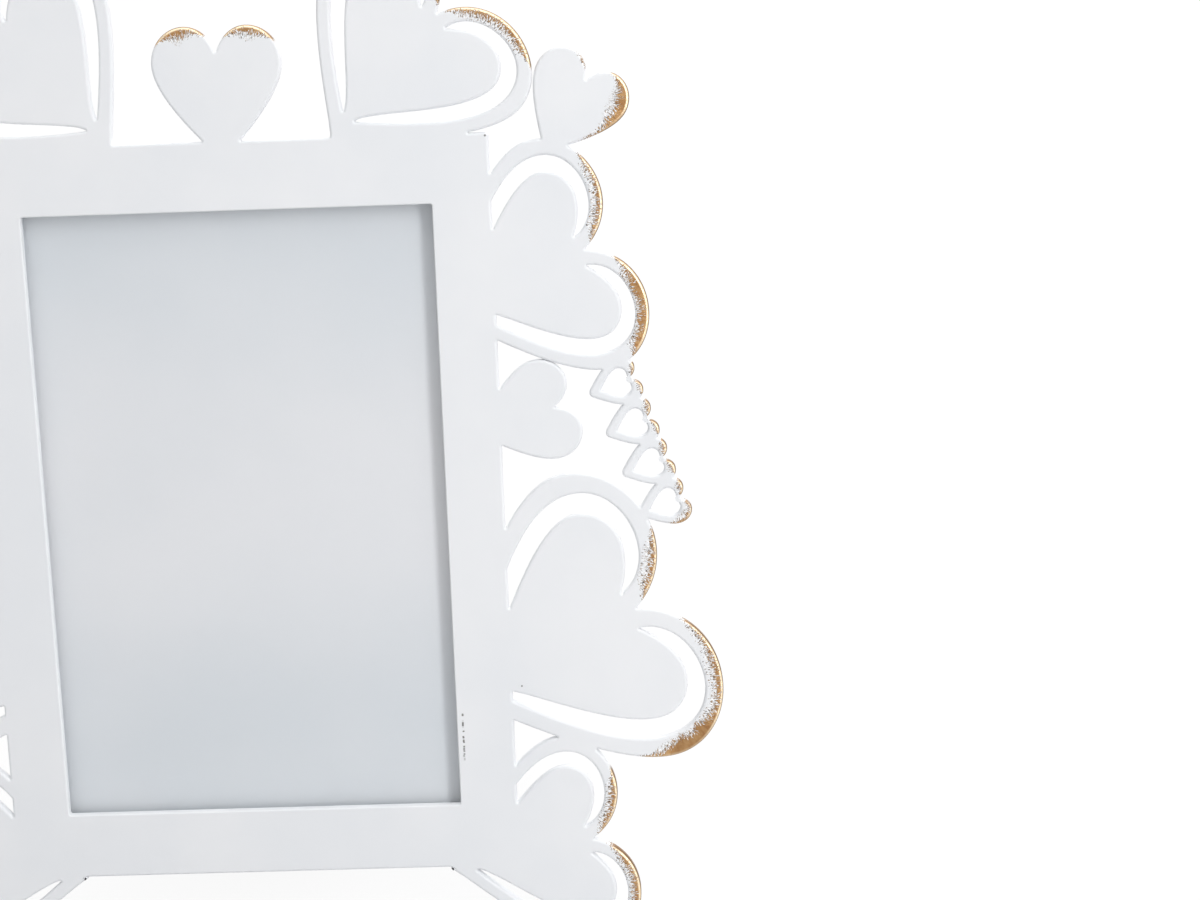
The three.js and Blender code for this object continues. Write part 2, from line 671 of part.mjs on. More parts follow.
for (const [sideName, side] of [["right", 1], ["left", -1]]) {
  for (const [levelName, level] of [["upper", 1], ["lower", -1]]) {
    const z = MIDDLE_HEIGHT + level * (WALL_Z - BUTTON_END_DISTANCE);
    const button = meshOf("turn_button_" + levelName + "_" + sideName, turnButton(), zincSteel);
    button.rotation.y = side === 1 ? 0 : Math.PI;
    addAt(upright, button, side * BUTTON_X, 0, z);
    const headSeat = BUTTON_FRONT + BUTTON_THICKNESS + GAP;
    const tailEnd = BOARD_BACK - RAIL_SHEET - GAP - RIVET_TAIL_HEIGHT;
    const pivot = meshOf(
      "button_rivet_" + levelName + "_" + sideName,
      rivet(headSeat, tailEnd, RIVET_TAIL_RADIUS),
      zincSteel,
    );
    addAt(upright, pivot, side * BUTTON_X, 0, z);
  }
}

// Hinge and leg. The pin is the origin of both leaves and of the leg.
addAt(upright, meshOf("hinge_fixed_leaf", fixedLeaf(), zincSteel), 0, PIN_DEPTH, PIN_HEIGHT);
addAt(upright, meshOf("hinge_pin", hingePin(), zincSteel), 0, PIN_DEPTH, PIN_HEIGHT);
const boardTail = BOARD_FRONT - PIN_DEPTH + GAP;
const leafRivetSeat = BOARD_LEAF_BACK + GAP;
fixedRivets().forEach(({ x, z }, i) => {
  const name = "board_rivet_" + ["left", "right"][i];
  const mesh = meshOf(name, rivet(leafRivetSeat, boardTail), zincSteel);
  addAt(upright, mesh, x, PIN_DEPTH, PIN_HEIGHT + z);
});

const leg = new THREE.Group();
leg.position.set(0, PIN_DEPTH, PIN_HEIGHT);
leg.rotation.x = rad(LEG_ANGLE);
upright.add(leg);
leg.add(meshOf("easel_leg", easelLeg(), flockedBoard));
leg.add(meshOf("hinge_moving_leaf", movingLeaf(), zincSteel));
movingRivets().forEach(({ x, z }, i) => {
  const name = "leg_rivet_" + ["upper", "lower"][i];
  addAt(leg, meshOf(name, rivet(KNUCKLE_RADIUS + GAP, LEG_FRONT + GAP), zincSteel), x, 0, z);
});

// Hanger, its ring hanging plumb from the strap
addAt(upright, meshOf("hanger_strap", hangerStrap(), zincSteel), 0, PIN_DEPTH, HANGER_HEIGHT);
strapRivets().forEach(({ x, z }, i) => {
  const name = "strap_rivet_" + ["upper", "lower"][i];
  const mesh = meshOf(name, rivet(leafRivetSeat, boardTail), zincSteel);
  addAt(upright, mesh, x, PIN_DEPTH, HANGER_HEIGHT + z);
});
const ring = addAt(upright, meshOf("hanger_ring", hangerRing(), zincSteel), 0, PIN_DEPTH, HANGER_HEIGHT);
ring.rotation.x = lean;

// The origin is under the middle of the whole frame, on the table.
const frame = new THREE.Group();
frame.add(upright);
frame.updateMatrixWorld(true);
const box = new THREE.Box3().setFromObject(frame, true);
frame.position.y = -(box.min.y + box.max.y) / 2;

export default frame;
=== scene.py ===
# A standing metal picture frame: a white painted steel plate cut into hearts round a portrait
# window, its outer edges dry-brushed with gold, with glass, back board and easel leg behind.
# Sizes are in millimetres in the plate's own frame, as in the solids: x to the right, y from the
# front face to the back, z up along the plate from the band's lower edge.
import math
from functools import partial

import bpy
import numpy as np
from mathutils import Matrix, Vector
from mathutils.geometry import delaunay_2d_cdt


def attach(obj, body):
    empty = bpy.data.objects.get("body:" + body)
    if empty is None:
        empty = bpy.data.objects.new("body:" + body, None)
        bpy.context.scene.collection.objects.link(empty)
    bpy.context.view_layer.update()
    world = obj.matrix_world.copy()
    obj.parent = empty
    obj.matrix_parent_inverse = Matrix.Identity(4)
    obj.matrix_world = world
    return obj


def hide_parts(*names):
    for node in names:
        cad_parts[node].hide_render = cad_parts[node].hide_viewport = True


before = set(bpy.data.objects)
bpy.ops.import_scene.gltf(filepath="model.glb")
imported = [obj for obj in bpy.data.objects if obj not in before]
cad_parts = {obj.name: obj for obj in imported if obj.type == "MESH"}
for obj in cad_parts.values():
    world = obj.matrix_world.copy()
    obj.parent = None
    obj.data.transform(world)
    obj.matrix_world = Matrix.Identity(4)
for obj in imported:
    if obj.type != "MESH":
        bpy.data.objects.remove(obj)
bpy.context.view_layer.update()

MM = 0.001

# Where the plate stands and how it leans
PLATE_ORIGIN = (0, -39.8989, 20.4425)
LEAN = math.radians(14)
LEG_OPEN = math.radians(32)
TABLE_CLEARANCE = 0.01

# The band round the window, which the hearts spring from
BAND_SIDE = 61.75
BAND_TOP = 178
WINDOW_HALF = 48

# Depths and thicknesses behind the front face
PLATE_THICKNESS = 2.3
RAIL_FRONT = 2.6
BOARD_FRONT = 7.4
BOARD_BACK = 10.4
BUTTON_FRONT = 10.7
BUTTON_BACK = 11.7
PIN_DEPTH = 12.8
CLEARANCE = 0.3

# Places on the back
MIDDLE_HEIGHT = 89
WALL_X = 51.5
WALL_Z = 76.5
BUTTON_X = 56
BUTTON_RISE = 42.5
PIN_HEIGHT = 118
HANGER_HEIGHT = 159

# Sheet metal
RAIL_SHEET = 1
RAIL_FLANGE = 8
BEND_RADIUS = 1.5
MITRE_GAP = 0.15
LEAF_SHEET = 0.8
WIRE_RADIUS = 1
KNUCKLE_BORE = 1.3
KNUCKLE_RADIUS = 2.1
BOARD_LEAF_FRONT = -2.1
MOVING_LEAF_FRONT = 1.3
LEG_FRONT = -2
LEG_BACK = 1

# Rounding left by the tumbled edge and the paint on it
FACE_ROUND = 0.72
WINDOW_ROUND = 0.35
BACK_ROUND = 0.35
BOARD_ROUND = 0.5
STEEL_ROUND = 0.18
TIP_RADIUS = 0.16
BLUNT_TIP_RADIUS = 0.5
CORNER_RADIUS = 0.9


# Places: each turns millimetres in a piece's own frame to millimetres in the room.

def shift(x, y, z):
    return Matrix.Translation((x, y, z))


def turn(angle, axis):
    return Matrix.Rotation(angle, 4, axis)


plate_place = shift(*PLATE_ORIGIN) @ turn(-LEAN, "X")
pin_place = plate_place @ shift(0, PIN_DEPTH, PIN_HEIGHT)
leg_place = pin_place @ turn(LEG_OPEN, "X")
hanger_place = plate_place @ shift(0, PIN_DEPTH, HANGER_HEIGHT)
ring_place = hanger_place @ turn(LEAN, "X")


# Outlines

def cad_outlines(node, place, face_depth):
    """The closed outlines of a flat node's face at face_depth, with the metal on their left."""
    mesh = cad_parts[node].data
    points = np.array([vertex.co for vertex in mesh.vertices]) / MM
    back = np.array(place.inverted())
    points = points @ back[:3, :3].T + back[:3, 3]
    flat = np.abs(points[:, 1] - face_depth) < 0.02
    keys, merged = np.unique(np.round(points[:, [0, 2]], 3), axis=0, return_inverse=True)
    merged = merged.ravel()
    sides = set()
    mesh.calc_loop_triangles()
    for triangle in mesh.loop_triangles:
        corners = list(triangle.vertices)
        if flat[corners].all():
            a, b, c = (int(merged[i]) for i in corners)
            sides |= {(a, b), (b, c), (c, a)}
    onward = {a: b for a, b in sides if (b, a) not in sides}
    outlines = []
    while onward:
        at = next(iter(sorted(onward)))
        outline = []
        while at in onward:
            outline.append(at)
            at = onward.pop(at)
        outlines.append(keys[outline])
    return outlines


def gaps_along(run):
    """The distance from each point of a run to the next."""
    return np.linalg.norm(np.diff(run, axis=0), axis=1)


def unit(ways):
    return ways / np.linalg.norm(ways, axis=1)[:, None]


def turn_between(came, goes):
    """The angle to the left from one way to another."""
    return math.atan2(came[0] * goes[1] - came[1] * goes[0], came @ goes)


def turnings(points):
    """How far a closed outline turns to the left at each of its points."""
    ahead = np.roll(points, -1, 0) - points
    heading = np.arctan2(ahead[:, 1], ahead[:, 0])
    turned = heading - np.roll(heading, 1)
    return (turned + math.pi) % (2 * math.pi) - math.pi


def smooth_run(points, step, lead=0):
    """Points every step along the natural cubic curve through the given ones, but for the lead ones at
    each end."""
    gaps = gaps_along(points)
    at = np.concatenate([[0], np.cumsum(gaps)])
    count = len(points)
    system = np.eye(count)
    pull = np.zeros((count, 2))
    for i in range(1, count - 1):
        system[i, i - 1:i + 2] = gaps[i - 1], 2 * (gaps[i - 1] + gaps[i]), gaps[i]
        rise = (points[i + 1] - points[i]) / gaps[i] - (points[i] - points[i - 1]) / gaps[i - 1]
        pull[i] = 6 * rise
    bend = np.linalg.solve(system, pull)
    first, last = at[lead], at[-1 - lead]
    along = np.linspace(first, last, max(2, round((last - first) / step) + 1))
    k = np.clip(np.searchsorted(at, along, side="right") - 1, 0, count - 2)
    gap = gaps[k][:, None]
    b = (along - at[k])[:, None] / gap
    a = 1 - b
    straight = a * points[k] + b * points[k + 1]
    return straight + ((a ** 3 - a) * bend[k] + (b ** 3 - b) * bend[k + 1]) * gap ** 2 / 6


def resampled(run, start, end, step):
    """Points about step apart on a fine run, from start to end before its end."""
    at = np.concatenate([[0], np.cumsum(gaps_along(run))])
    length = at[-1] - start - end
    along = np.linspace(start, at[-1] - end, max(1, math.ceil(length / step)) + 1)
    return np.stack([np.interp(along, at, run[:, k]) for k in (0, 1)], 1)


# How finely the outlines are drawn, and which of their bends are corners
FINE_STEP = 0.12
CURVE_STEP = 0.8
STRAIGHT_STEP = 2.4
ARC_STEP = math.radians(20)
ROUND_SIDES = 24
SHARPEST_BEND = math.radians(40)
LEAST_CORNER = math.radians(12)
STANDS_OUT = 2.2
SHARPEST_TIP = math.radians(95)
SHARPEST_CUT = math.radians(165)
LEAST_NOTCH = math.radians(35)
ON_BAND = 0.05


def find_corners(outline):
    """The points where an outline turns far more sharply than its neighbours do."""
    turned = np.abs(turnings(outline))
    beside = np.maximum(np.roll(turned, 1), np.roll(turned, -1))
    sharp = (turned > SHARPEST_BEND) | ((turned > LEAST_CORNER) & (turned > STANDS_OUT * beside))
    for along_band in (
        np.abs(np.abs(outline[:, 0]) - BAND_SIDE) < ON_BAND,
        np.abs(outline[:, 1]) < ON_BAND,
        np.abs(outline[:, 1] - BAND_TOP) < ON_BAND,
    ):
        before, after = np.roll(along_band, 1), np.roll(along_band, -1)
        sharp |= along_band & (before != after) & (turned > LEAST_CORNER / 2)
    return np.flatnonzero(sharp)


def refined(outline):
    """A smooth, evenly stepped copy of an outline with its corners rounded, and which of its points lie
    in an inner corner."""
    corners = find_corners(outline)
    if len(corners) == 0:
        wrapped = np.concatenate([outline[-4:], outline, outline[:5]])
        fine = smooth_run(wrapped, FINE_STEP, 4)
        length = gaps_along(fine).sum()
        points = resampled(fine, 0, 0, min(CURVE_STEP, length / ROUND_SIDES))[:-1]
        return points, np.zeros(len(points), bool)
    rolled = np.roll(outline, -corners[0], 0)
    starts = list(corners - corners[0]) + [len(outline)]
    closed = np.concatenate([rolled, rolled[:1]])
    runs = []
    for a, b in zip(starts, starts[1:]):
        part = closed[a:b + 1]
        inner = np.abs(turnings(closed[:-1])[a + 1:b])
        is_straight = inner.size == 0 or inner.max() < LEAST_CORNER / 12
        fine = smooth_run(part[[0, -1]] if is_straight else part, FINE_STEP)
        length = gaps_along(fine).sum()
        runs.append((fine, STRAIGHT_STEP if is_straight else min(CURVE_STEP, length / ROUND_SIDES)))
    lengths = [gaps_along(fine).sum() for fine, _ in runs]
    cuts, turns = [], []
    for k, (fine, _) in enumerate(runs):
        before = runs[k - 1][0]
        came = before[-1] - before[-3 if len(before) > 2 else -2]
        goes = fine[min(2, len(fine) - 1)] - fine[0]
        turned = turn_between(came, goes)
        blunt = turned > -SHARPEST_TIP
        radius = CORNER_RADIUS if turned > 0 else BLUNT_TIP_RADIUS if blunt else TIP_RADIUS
        cut = radius * math.tan(min(abs(turned), SHARPEST_CUT) / 2)
        cuts.append(min(cut, 0.45 * lengths[k], 0.45 * lengths[k - 1]))
        turns.append(turned)
    bodies = [
        resampled(fine, cuts[k], cuts[(k + 1) % len(runs)], step) for k, (fine, step) in enumerate(runs)
    ]
    points, inner_corner = [], []
    for k, body in enumerate(bodies):
        after = (k + 1) % len(runs)
        arc = corner_arc(runs[k][0], runs[after][0], cuts[after], body[-1], bodies[after][0])
        points += [body, arc]
        inner_corner += [False] * len(body) + [turns[after] < -LEAST_NOTCH] * len(arc)
    points, inner_corner = np.concatenate(points), np.array(inner_corner)
    apart = np.linalg.norm(points - np.roll(points, 1, 0), axis=1) > 1e-3
    return points[apart], inner_corner[apart]


def corner_arc(run, next_run, cut, start, end):
    """The points between start and end on the curve that rounds the corner between two fine runs."""
    back = min(len(run) - 2, round(cut / FINE_STEP))
    ahead = min(len(next_run) - 2, round(cut / FINE_STEP))
    came = run[-1 - back] - run[-2 - back]
    goes = next_run[ahead + 1] - next_run[ahead]
    came, goes = came / np.linalg.norm(came), goes / np.linalg.norm(goes)
    turned = abs(turn_between(came, goes))
    across = np.linalg.norm(end - start)
    if across < 1e-4 or turned < 1e-3:
        return np.zeros((0, 2))
    radius = across / (2 * math.sin(turned / 2))
    handle = min(4 / 3 * math.tan(turned / 4) * radius, across)
    t = np.linspace(0, 1, max(2, math.ceil(turned / ARC_STEP)) + 1)[1:-1, None]
    knots = (start, start + handle * came, end - handle * goes, end)
    shares = ((1 - t) ** 3, 3 * t * (1 - t) ** 2, 3 * t ** 2 * (1 - t), t ** 3)
    return sum(share * knot for share, knot in zip(shares, knots))


def inward(outline):
    """The way into the metal at each point, as long as keeps offset sides parallel."""
    ahead = unit(np.roll(outline, -1, 0) - outline)
    left = np.stack([-ahead[:, 1], ahead[:, 0]], 1)
    before = np.roll(left, 1, 0)
    return (left + before) / (1 + (left * before).sum(1))[:, None]


def nearest(points, samples):
    """The distance from each point to the nearest sample, and which sample that is."""
    distance = np.empty(len(points))
    index = np.empty(len(points), int)
    for i in range(0, len(points), 1000):
        part = points[i:i + 1000, None] - samples[None]
        squares = (part ** 2).sum(2)
        index[i:i + 1000] = squares.argmin(1)
        distance[i:i + 1000] = np.sqrt(squares.min(1))
    return distance, index


def inside(points, outlines):
    """Which points lie in the metal between the outlines."""
    start = np.concatenate(outlines)
    end = np.concatenate([np.roll(outline, -1, 0) for outline in outlines])
    run = end - start
    run[:, 1] = np.where(run[:, 1] == 0, 1e-12, run[:, 1])
    odd = np.empty(len(points), bool)
    for i in range(0, len(points), 500):
        x, z = points[i:i + 500, :1], points[i:i + 500, 1:]
        spans = (start[:, 1] > z) != (end[:, 1] > z)
        crossing = start[:, 0] + (z - start[:, 1]) * run[:, 0] / run[:, 1]
        odd[i:i + 500] = (spans & (x < crossing)).sum(1) % 2
    return odd


def filled(outlines, extra):
    """Triangles that fill the metal between outlines, over their points and then the extra ones."""
    points = np.concatenate([*outlines, extra])
    edges, first = [], 0
    for outline in outlines:
        count = len(outline)
        edges += [(first + i, first + (i + 1) % count) for i in range(count)]
        first += count
    made, _, faces, origin, _, _ = delaunay_2d_cdt([Vector(p) for p in points], edges, [], 0, 1e-5)
    made = np.array([tuple(p) for p in made])
    faces = np.array([tuple(face) for face in faces])
    faces = faces[inside(made[faces].mean(1), outlines)]
    corner = made[faces]
    ab, ac = corner[:, 1] - corner[:, 0], corner[:, 2] - corner[:, 0]
    area = ab[:, 0] * ac[:, 1] - ab[:, 1] * ac[:, 0]
    faces = np.where((area > 0)[:, None], faces, faces[:, ::-1])
    source = np.array([came[0] if came else -1 for came in origin])
    faces = source[faces]
    return faces[(faces >= 0).all(1)]


# Meshes

def make_piece(name, body, place, vertices, faces, material, normals=None, marks=None):
    """A named mesh on a body. vertices are millimetres in the place's frame."""
    where = np.array(place)
    world = np.asarray(vertices, float) @ where[:3, :3].T + where[:3, 3]
    world[:, 2] = np.maximum(world[:, 2], TABLE_CLEARANCE)
    mesh = bpy.data.meshes.new(name)
    mesh.from_pydata((world * MM).tolist(), [], [tuple(map(int, face)) for face in faces])
    mesh.polygons.foreach_set("use_smooth", [True] * len(mesh.polygons))
    for key, values in (marks or {}).items():
        layer = mesh.attributes.new(key, "FLOAT", "POINT")
        layer.data.foreach_set("value", np.asarray(values, np.float32))
    mesh.update()
    if normals is not None:
        turned = unit(np.asarray(normals, float) @ where[:3, :3].T)
        mesh.normals_split_custom_set_from_vertices(turned.tolist())
    piece = bpy.data.objects.new(name, mesh)
    bpy.context.scene.collection.objects.link(piece)
    mesh.materials.append(material)
    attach(piece, body)
    return piece


def sheet_mesh(outlines, front, back, front_round, back_round, extra=None, steps=4):
    """A flat sheet with rounded arrises: its vertices, faces and normals."""
    extra = np.zeros((0, 2)) if extra is None else extra
    front_rounds = np.broadcast_to(front_round, len(outlines))
    quarter = np.linspace(0, math.pi / 2, steps + 1)
    rings = []
    for a in quarter:
        rings.append((front_rounds * (1 - math.sin(a)), front + front_rounds * (1 - math.cos(a)), a))
    for a in quarter:
        offset, rise = back_round * (1 - math.cos(a)), back_round * (1 - math.sin(a))
        rings.append((front_rounds * 0 + offset, front_rounds * 0 + back - rise, a + math.pi / 2))
    into = [inward(outline) for outline in outlines]
    vertices, normals, faces = [], [], []
    per_ring = sum(len(outline) for outline in outlines)
    for offsets, depths, angle in rings:
        for outline, inner, offset, depth in zip(outlines, into, offsets, depths):
            flat = outline + offset * inner
            out = unit(-inner)
            vertices.append(np.insert(flat, 1, depth, axis=1))
            normals.append(np.insert(out * math.sin(angle), 1, -math.cos(angle), axis=1))
    for ring in range(len(rings) - 1):
        first = ring * per_ring
        for outline in outlines:
            count = len(outline)
            i = first + np.arange(count)
            j = first + (np.arange(count) + 1) % count
            faces.append(np.stack([i, i + per_ring, j + per_ring, j], 1))
            first += count
    front_loops = [outline + width * inner for outline, inner, width in zip(outlines, into, front_rounds)]
    back_loops = [outline + back_round * inner for outline, inner in zip(outlines, into)]
    front_fill = filled(front_loops, extra)
    back_fill = filled(back_loops, extra)[:, ::-1]
    last = (len(rings) - 1) * per_ring
    base = len(rings) * per_ring
    for fill, ring_first, depth, facing in ((front_fill, 0, front, -1), (back_fill, last, back, 1)):
        vertices.append(np.insert(extra, 1, depth, axis=1))
        normals.append(np.tile([0.0, facing, 0.0], (len(extra), 1)))
        faces.append(np.where(fill < per_ring, fill + ring_first, fill - per_ring + base))
        base += len(extra)
    listed = [tuple(face) for group in faces for face in group]
    return np.concatenate(vertices), listed, np.concatenate(normals)


TURNED_SIDES = 40
HARD_EDGE = math.radians(35)
BEVELLED_EDGE = math.radians(40)


def turned_mesh(profile, closed=False):
    """A profile of (radius, height) points turned round the y axis, its height running along y."""
    vertices, faces, rows = [], [], []
    for radius, height in profile:
        if radius < 1e-6:
            rows.append([len(vertices)])
            vertices.append((0, height, 0))
            continue
        rows.append(list(range(len(vertices), len(vertices) + TURNED_SIDES)))
        for k in range(TURNED_SIDES):
            a = 2 * math.pi * k / TURNED_SIDES
            vertices.append((radius * math.sin(a), height, radius * math.cos(a)))
    pairs = list(zip(rows, rows[1:])) + ([(rows[-1], rows[0])] if closed else [])
    for low, high in pairs:
        for k in range(TURNED_SIDES):
            n = (k + 1) % TURNED_SIDES
            ring = [low[k % len(low)], low[n % len(low)], high[n % len(high)], high[k % len(high)]]
            corners = list(dict.fromkeys(ring))
            if len(corners) > 2:
                faces.append(tuple(corners))
    return vertices, faces


def along_x(mesh):
    """A turned mesh laid along the x axis."""
    vertices, faces = mesh
    place = turn(math.radians(-90), "Z")
    return [tuple(place @ Vector(v)) for v in vertices], faces


def joined(*parts):
    """Several (vertices, faces) as one."""
    vertices, faces = [], []
    for part_vertices, part_faces in parts:
        first = len(vertices)
        vertices += [tuple(v) for v in part_vertices]
        faces += [tuple(int(i) + first for i in face) for face in part_faces]
    return vertices, faces


# Colours and materials

# Settings that many nodes share. A colour blend's colours are at sockets 6 and 7.
SMOOTH = {"interpolation_type": "SMOOTHSTEP"}
TIMES = {"operation": "MULTIPLY"}
BLEND = {"out": 2, "data_type": "RGBA"}


def colour(code):
    """A linear colour with alpha from an sRGB hex code."""
    parts = [int(code[i:i + 2], 16) / 255 for i in (1, 3, 5)]
    return (*[p / 12.92 if p <= 0.04045 else ((p + 0.055) / 1.055) ** 2.4 for p in parts], 1)


def grain(size):
    """The texture scale at which a pattern's features are size millimetres across."""
    return 1 / (size * MM)


def add_node(tree, kind, inputs=(), out=0, **settings):
    """Adds a node to a material's or the world's tree, with its settings and links, and gives its output
    out. Inputs are values, colour codes or other nodes' outputs, in the sockets' order or by name."""
    made = tree.nodes.new("ShaderNode" + kind)
    for key, value in settings.items():
        setattr(made, key, value)
    by_socket = inputs if isinstance(inputs, dict) else dict(enumerate(inputs))
    for socket, value in by_socket.items():
        if isinstance(value, bpy.types.NodeSocket):
            tree.links.new(value, made.inputs[socket])
        else:
            made.inputs[socket].default_value = colour(value) if isinstance(value, str) else value
    return made.outputs[out] if made.outputs else None


def fill_nodes(holder, output, recipe):
    """Fills the tree of a new material or world with the nodes that its recipe adds. In a recipe add is
    add_node for that tree."""
    holder.use_nodes = True
    holder.node_tree.nodes.clear()
    add = partial(add_node, holder.node_tree)
    add(output, [recipe(add)])
    return holder


def new_material(name, recipe):
    return fill_nodes(bpy.data.materials.new(name), "OutputMaterial", recipe)


def faded(add, value, over, *limits):
    """A value times the smooth step of another one between limits."""
    return add("Math", (value, add("MapRange", (over, *limits), **SMOOTH)), **TIMES)


def toned(add, base, tone, over, *limits):
    """A colour that turns to tone as another value goes through the limits."""
    share = add("MapRange", (over, *limits), **SMOOTH)
    return add("Mix", {0: share, 6: base, 7: tone}, **BLEND)


def dusted(add, place, base, spacing, specks, patch, least, share, tone):
    """A colour with specks of dust, one for every spacing mm or so, in a few of the patches."""
    near = add("TexVoronoi", {"Vector": place, "Scale": grain(spacing)}, "Distance")
    near = add("MapRange", (near, *specks, 1, 0), **SMOOTH)
    patches = add("TexNoise", {"Vector": place, "Scale": grain(patch), "Detail": 0}, "Fac")
    dust = faded(add, near, patches, least, least + 0.04)
    dust = add("Math", (dust, share), **TIMES)
    return add("Mix", {0: dust, 6: base, 7: tone}, **BLEND)


def lacquer_parts(add):
    """The colour, roughness and relief of sprayed satin lacquer, with a little dust in it."""
    place = add("TexCoord", out="Object")
    cloud, sheen, peel = (
        add("TexNoise", {"Vector": place, "Scale": grain(size), "Detail": detail}, "Fac")
        for size, detail in ((35, 3), (6, 2), (0.9, 2))
    )
    base = toned(add, "#EEEFF1", "#E9EBEE", cloud, 0.3, 0.7)
    base = dusted(add, place, base, 9, (0.010, 0.022), 14, 0.62, 0.45, "#77756F")
    rough = add("MapRange", (sheen, 0.3, 0.7, 0.42, 0.52), **SMOOTH)
    return base, rough, add("Bump", {"Height": peel, "Distance": 0.012 * MM})


def satin_lacquer(add):
    """Sprayed satin lacquer on steel sheet: a soft sheen and a trace of orange peel."""
    base, rough, normal = lacquer_parts(add)
    return add("BsdfPrincipled", {"Base Color": base, "Roughness": rough, "Normal": normal})


def along_the_edge(add, along, across, width, length, detail=2):
    """A noise laid along the outline, its features width mm wide along it and length mm long across."""
    lying = add("CombineXYZ", [
        add("Math", sizes, operation="DIVIDE") for sizes in ((along, width), (across, length))
    ])
    return add("TexNoise", {"Vector": lying, "Scale": 1, "Detail": detail, "Roughness": 0.6}, "Fac")


# Where the lacquer is nicked: across and up the plate, and for a single nick its radius
NICK_LINE = 49.8
NICK_LINE_ENDS = ((25, 31), (40.2, 38.6))
NICKS = ((64.1, 45.6, 0.3), (61.0, 177.3, 0.35))


def nicked(add, lacquer):
    """The lacquer with the places where it is nicked through to the dull steel: a broken line of dots
    beside the window and two single specks. The finest are drawn 0.4 mm wide, coarser than real."""
    aside, up = (add("Attribute", out="Fac", attribute_name=key) for key in ("plate_x", "plate_z"))
    wander = along_the_edge(add, up, aside, 1.6, 60)
    off = add("Math", (aside, NICK_LINE), operation="SUBTRACT")
    off = add("Math", (wander, 0.7, off), operation="MULTIPLY_ADD")
    off = add("Math", (off,), operation="ABSOLUTE")
    holes = add("MapRange", (off, 0.32, 0.12), **SMOOTH)
    for limits in NICK_LINE_ENDS:
        holes = faded(add, holes, up, *limits)
    holes = faded(add, holes, along_the_edge(add, up, aside, 0.9, 60, 1), 0.44, 0.56)
    spot = add("CombineXYZ", (aside, up))
    for x, z, radius in NICKS:
        away = add("VectorMath", (spot, (x, z, 0)), "Value", operation="DISTANCE")
        nick = add("MapRange", (away, radius, radius * 0.4), **SMOOTH)
        holes = add("Math", (holes, nick), operation="MAXIMUM")
    holes = add("Math", (holes, 0.85), **TIMES)
    return add("Mix", {0: holes, 6: lacquer, 7: "#4C473F"}, **BLEND)


def gold_brushed_lacquer(add):
    """Satin lacquer with antique gold paint dry-brushed over its outer edges: solid on the arris, ragged
    on the face, and then only brown specks. Painted on it: a cream highlight on the arris, a thin brown
    line of shade just past it, and white glints among the specks."""
    lacquer, rough, normal = lacquer_parts(add)
    lacquer = nicked(add, lacquer)
    along, across, solid, fringe, arris_lit = (
        add("Attribute", out="Fac", attribute_name="brush_" + key)
        for key in ("along", "across", "solid", "fringe", "arris_lit")
    )
    # Bristle marks lie across the edge. They and the dabs are drawn about 0.3 mm wide, a little coarser
    # than real.
    bristle, patch, dabs, glint_noise, dark, tone = (
        along_the_edge(add, along, across, *sizes)
        for sizes in ((0.3, 1.6, 3), (4.5, 9), (0.25, 0.8, 1), (0.4, 0.7, 1), (0.45, 0.6, 1), (1.2, 3))
    )
    width = faded(add, solid, patch, 0.3, 0.7, 0.7, 1.3)
    ragged = add("MapRange", (bristle, 0.32, 0.68, -1.3, 1.0), **SMOOTH)
    ragged = faded(add, ragged, solid, 0.0, 1.2)
    margin = add("Math", (width, ragged), operation="ADD")
    margin = add("Math", (margin, across), operation="SUBTRACT")
    covered = add("MapRange", (margin, -0.08, 0.12), **SMOOTH)
    covered = faded(add, covered, solid, 0.05, 0.3)

    # Past the solid gold the half-dry paint took only on the lacquer's high points.
    start = add("Math", (solid, 0.6), **TIMES)
    share = add("MapRange", (across, start, fringe, 1, 0), **SMOOTH)
    share = faded(add, share, fringe, 0.3, 1.2)
    least = add("Math", (share, -0.19, 0.645), operation="MULTIPLY_ADD")
    speck = add("Math", (dabs, least), operation="SUBTRACT")
    speck = add("MapRange", (speck, -0.02, 0.05), **SMOOTH)
    speck = faded(add, speck, share, 0.01, 0.08)
    # Painted glints: white flecks among the specks, brighter than the lacquer, where the rough fringe catches
    # the light.
    scuffed = add("MapRange", (glint_noise, 0.5, 0.6), **SMOOTH)
    scuffed = faded(add, scuffed, share, 0.05, 0.4)
    lacquer = add("Mix", {0: scuffed, 6: lacquer, 7: "#FFFFFF"}, **BLEND)
    dab_tone = toned(add, "#A48A6E", "#4A3F36", dark, 0.46, 0.57)
    dab_tone = toned(add, dab_tone, "#B0824A", share, 0.7, 1.0, 0, 0.8)
    lacquer = add("Mix", {0: speck, 6: lacquer, 7: dab_tone}, **BLEND)

    gold = toned(add, "#A6794E", "#C29B6C", tone, 0.3, 0.7)
    # The gold turns darker where its solid band is widest. That is mostly on the broad lobes that turn under,
    # away from the light, so this is in part painted shade.
    gold = toned(add, gold, "#7A5836", solid, 1.6, 3.2, 0, 0.42)
    # Painted highlight: a cream line on the gold arris, strongest where the edge faces up and outwards,
    # towards the light.
    bright = add("MapRange", (across, 0.85, 0.4), **SMOOTH)
    bright = faded(add, bright, across, -0.18, 0.08)
    for share in (arris_lit, 0.9):
        bright = add("Math", (bright, share), **TIMES)
    gold = add("Mix", {0: bright, 6: gold, 7: "#FAE8C8"}, **BLEND)
    # Painted shade: just past the arris, where the side turns away from the light, the gold darkens to a thin
    # brown line. The side below is plain gold.
    side = toned(add, "#6E5438", "#977249", across, -0.7, -1.0)
    gold = toned(add, gold, side, across, -0.12, -0.32)
    height = add("Math", (speck, 0.5), **TIMES)
    height = add("Math", (covered, height), operation="ADD")
    return add("BsdfPrincipled", {
        "Base Color": add("Mix", {0: covered, 6: lacquer, 7: gold}, **BLEND),
        "Metallic": add("Math", (covered, 0.85), **TIMES),
        "Roughness": add("Mix", {0: covered, 2: rough, 3: 0.4}),
        "Normal": add("Bump", {"Height": height, "Distance": 0.04 * MM, "Normal": normal}),
    })


